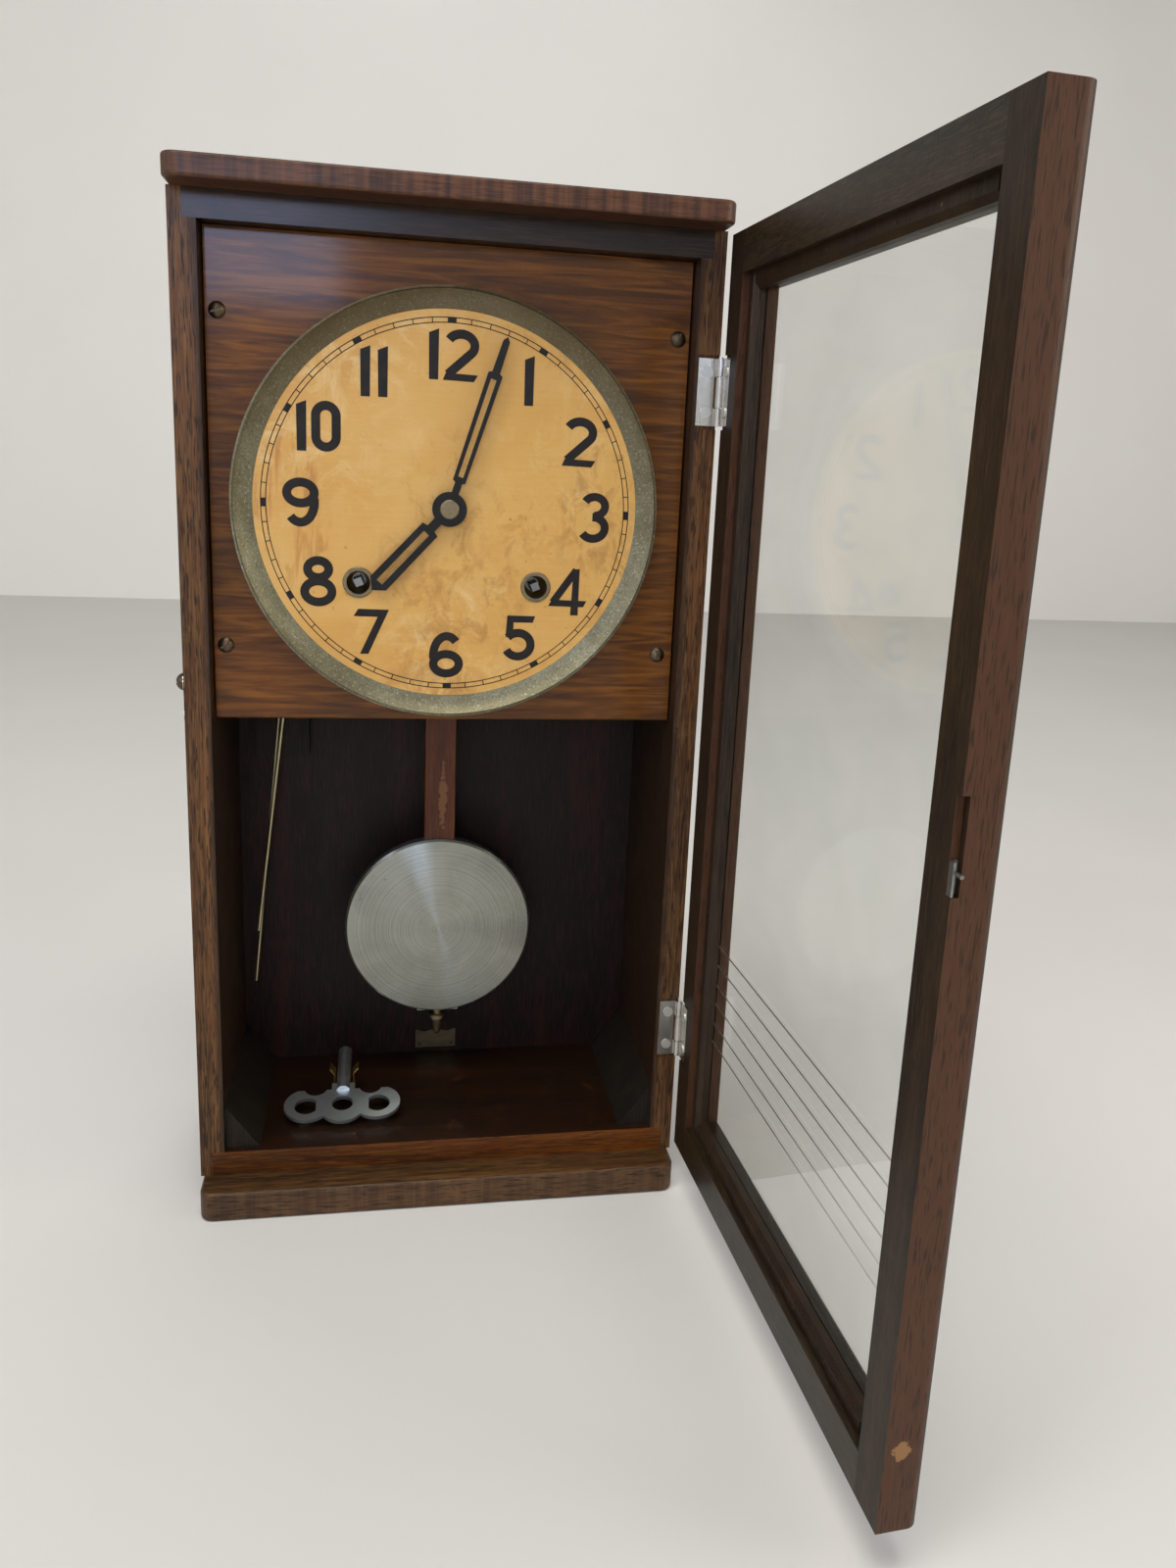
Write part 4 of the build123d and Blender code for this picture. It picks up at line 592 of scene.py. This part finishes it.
def strip(name, z, height):
    """A thin silver strip across the inner side of the door glass, in metres."""
    points = [vertex.co for vertex in nodes["door_glass"].data.vertices]
    near = max(points, key=lambda p: p.y - p.x)
    far = min(points, key=lambda p: p.y + p.x)
    run = Vector((far.x - near.x, far.y - near.y, 0))
    along = run.normalized()
    outward = Vector((along.y, -along.x, 0))
    inner = outward if outward.x < 0 else -outward
    ahead = along * LINE_INSET
    start = near + ahead + inner * LINE_LIFT
    stop = near + along * run.length - ahead + inner * LINE_LIFT
    mesh = bpy.data.meshes.new(name)
    piece = bpy.data.objects.new(name, mesh)
    bpy.context.scene.collection.objects.link(piece)
    form = bmesh.new()
    rows = []
    for i in range(LINE_STEPS + 1):
        base = start.lerp(stop, i / LINE_STEPS)
        proud = base + inner * LINE_THICKNESS
        corners = ((base, z), (base, z + height), (proud, z + height), (proud, z))
        rows.append([form.verts.new((place.x, place.y, level)) for place, level in corners])
    for a, b in zip(rows, rows[1:]):
        for i in range(4):
            form.faces.new((a[i], a[(i + 1) % 4], b[(i + 1) % 4], b[i]))
    form.faces.new(rows[0])
    form.faces.new(rows[-1])
    bmesh.ops.recalc_face_normals(form, faces=form.faces[:])
    form.to_mesh(mesh)
    form.free()
    mesh.materials.append(silver_line)
    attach(piece, "door")


for number, z in enumerate(LINE_PLACES):
    strip(f"glass_line_{number + 1}", z * MM, LINE_HEIGHT)


# ---------------------------------------------------------------- stage, light and camera

def pale_sheet(name, corners, colour):
    """One large flat sheet of the stage."""
    mesh = bpy.data.meshes.new(name)
    mesh.from_pydata(corners, [], [(0, 1, 2, 3)])
    sheet = bpy.data.objects.new(name, mesh)
    bpy.context.scene.collection.objects.link(sheet)
    look = Look(name, Roughness=0.6)
    soft = look.noise((3, 3, 3), 2, 0.5)
    look.paint(look.ramp(soft, (0.3, colour), (0.7, scaled(colour, 1.04))))
    mesh.materials.append(look.material)


REACH = 2.6
TALL = 3.2
pale_sheet("stage_floor", [(-REACH, -REACH, 0), (REACH, -REACH, 0), (REACH, REACH, 0), (-REACH, REACH, 0)],
           rgb(220, 218, 213))
for name, start, stop in (
    ("stage_wall_back", (-REACH, REACH), (REACH, REACH)),
    ("stage_wall_front", (REACH, -REACH), (-REACH, -REACH)),
    ("stage_wall_left", (-REACH, -REACH), (-REACH, REACH)),
    ("stage_wall_right", (REACH, REACH), (REACH, -REACH)),
):
    pale_sheet(name, [(*start, 0), (*stop, 0), (*stop, TALL), (*start, TALL)], rgb(252, 249, 244))

bpy.context.scene.view_settings.view_transform = "Standard"
world = bpy.context.scene.world or bpy.data.worlds.new("World")
bpy.context.scene.world = world
world.use_nodes = True
background = world.node_tree.nodes["Background"]
background.inputs["Color"].default_value = rgb(226, 229, 236)
background.inputs["Strength"].default_value = 0.17


def lamp(name, place, target, size, power, colour):
    data = bpy.data.lights.new(name, "AREA")
    data.shape = "RECTANGLE"
    data.size, data.size_y = size
    data.energy = power
    data.color = colour[:3]
    made = bpy.data.objects.new(name, data)
    bpy.context.scene.collection.objects.link(made)
    made.location = place
    made.rotation_euler = (Vector(target) - Vector(place)).to_track_quat("-Z", "Y").to_euler()


lamp("ceiling_light", (-0.3, -0.7, 2.3), (0, 0, 0.2), (1.4, 1.0), 29, rgb(255, 251, 244))
lamp("left_light", (-1.9, -1.2, 1.5), (0, 0, 0.25), (1.0, 1.2), 13, rgb(232, 240, 255))
lamp("window_light", (-0.42, -2.3, 0.95), (-0.05, 0, 0.42), (0.55, 0.45), 8, rgb(190, 210, 255))
lamp("right_light", (1.8, -1.0, 1.0), (0.1, 0, 0.2), (1.0, 1.0), 13, rgb(255, 246, 235))

lamp("back_light", (0.5, 1.9, 2.6), (0, 0, 0.3), (1.2, 0.8), 10, rgb(246, 248, 255))

yaw, pitch, roll = 0.186054577, -0.225987164, 0.0466227363
ahead = Vector((sin(yaw) * cos(pitch), cos(yaw) * cos(pitch), sin(pitch)))
right = Vector((cos(yaw), -sin(yaw), 0))
up = right.cross(ahead)
tilted_right = cos(roll) * right + sin(roll) * up
tilted_up = cos(roll) * up - sin(roll) * right
place = Vector((-0.0295, -0.63351, 0.40163))
camera_data = bpy.data.cameras.new("camera")
camera_data.sensor_width = 36
camera_data.lens = 26.824
camera_data.shift_x = -0.01159
camera_data.shift_y = -0.0332
camera_data.clip_start = 0.01
camera = bpy.data.objects.new("camera", camera_data)
bpy.context.scene.collection.objects.link(camera)
turn = Matrix((tilted_right, tilted_up, -ahead)).transposed().to_4x4()
camera.matrix_world = Matrix.Translation(place) @ turn
bpy.context.scene.camera = camera
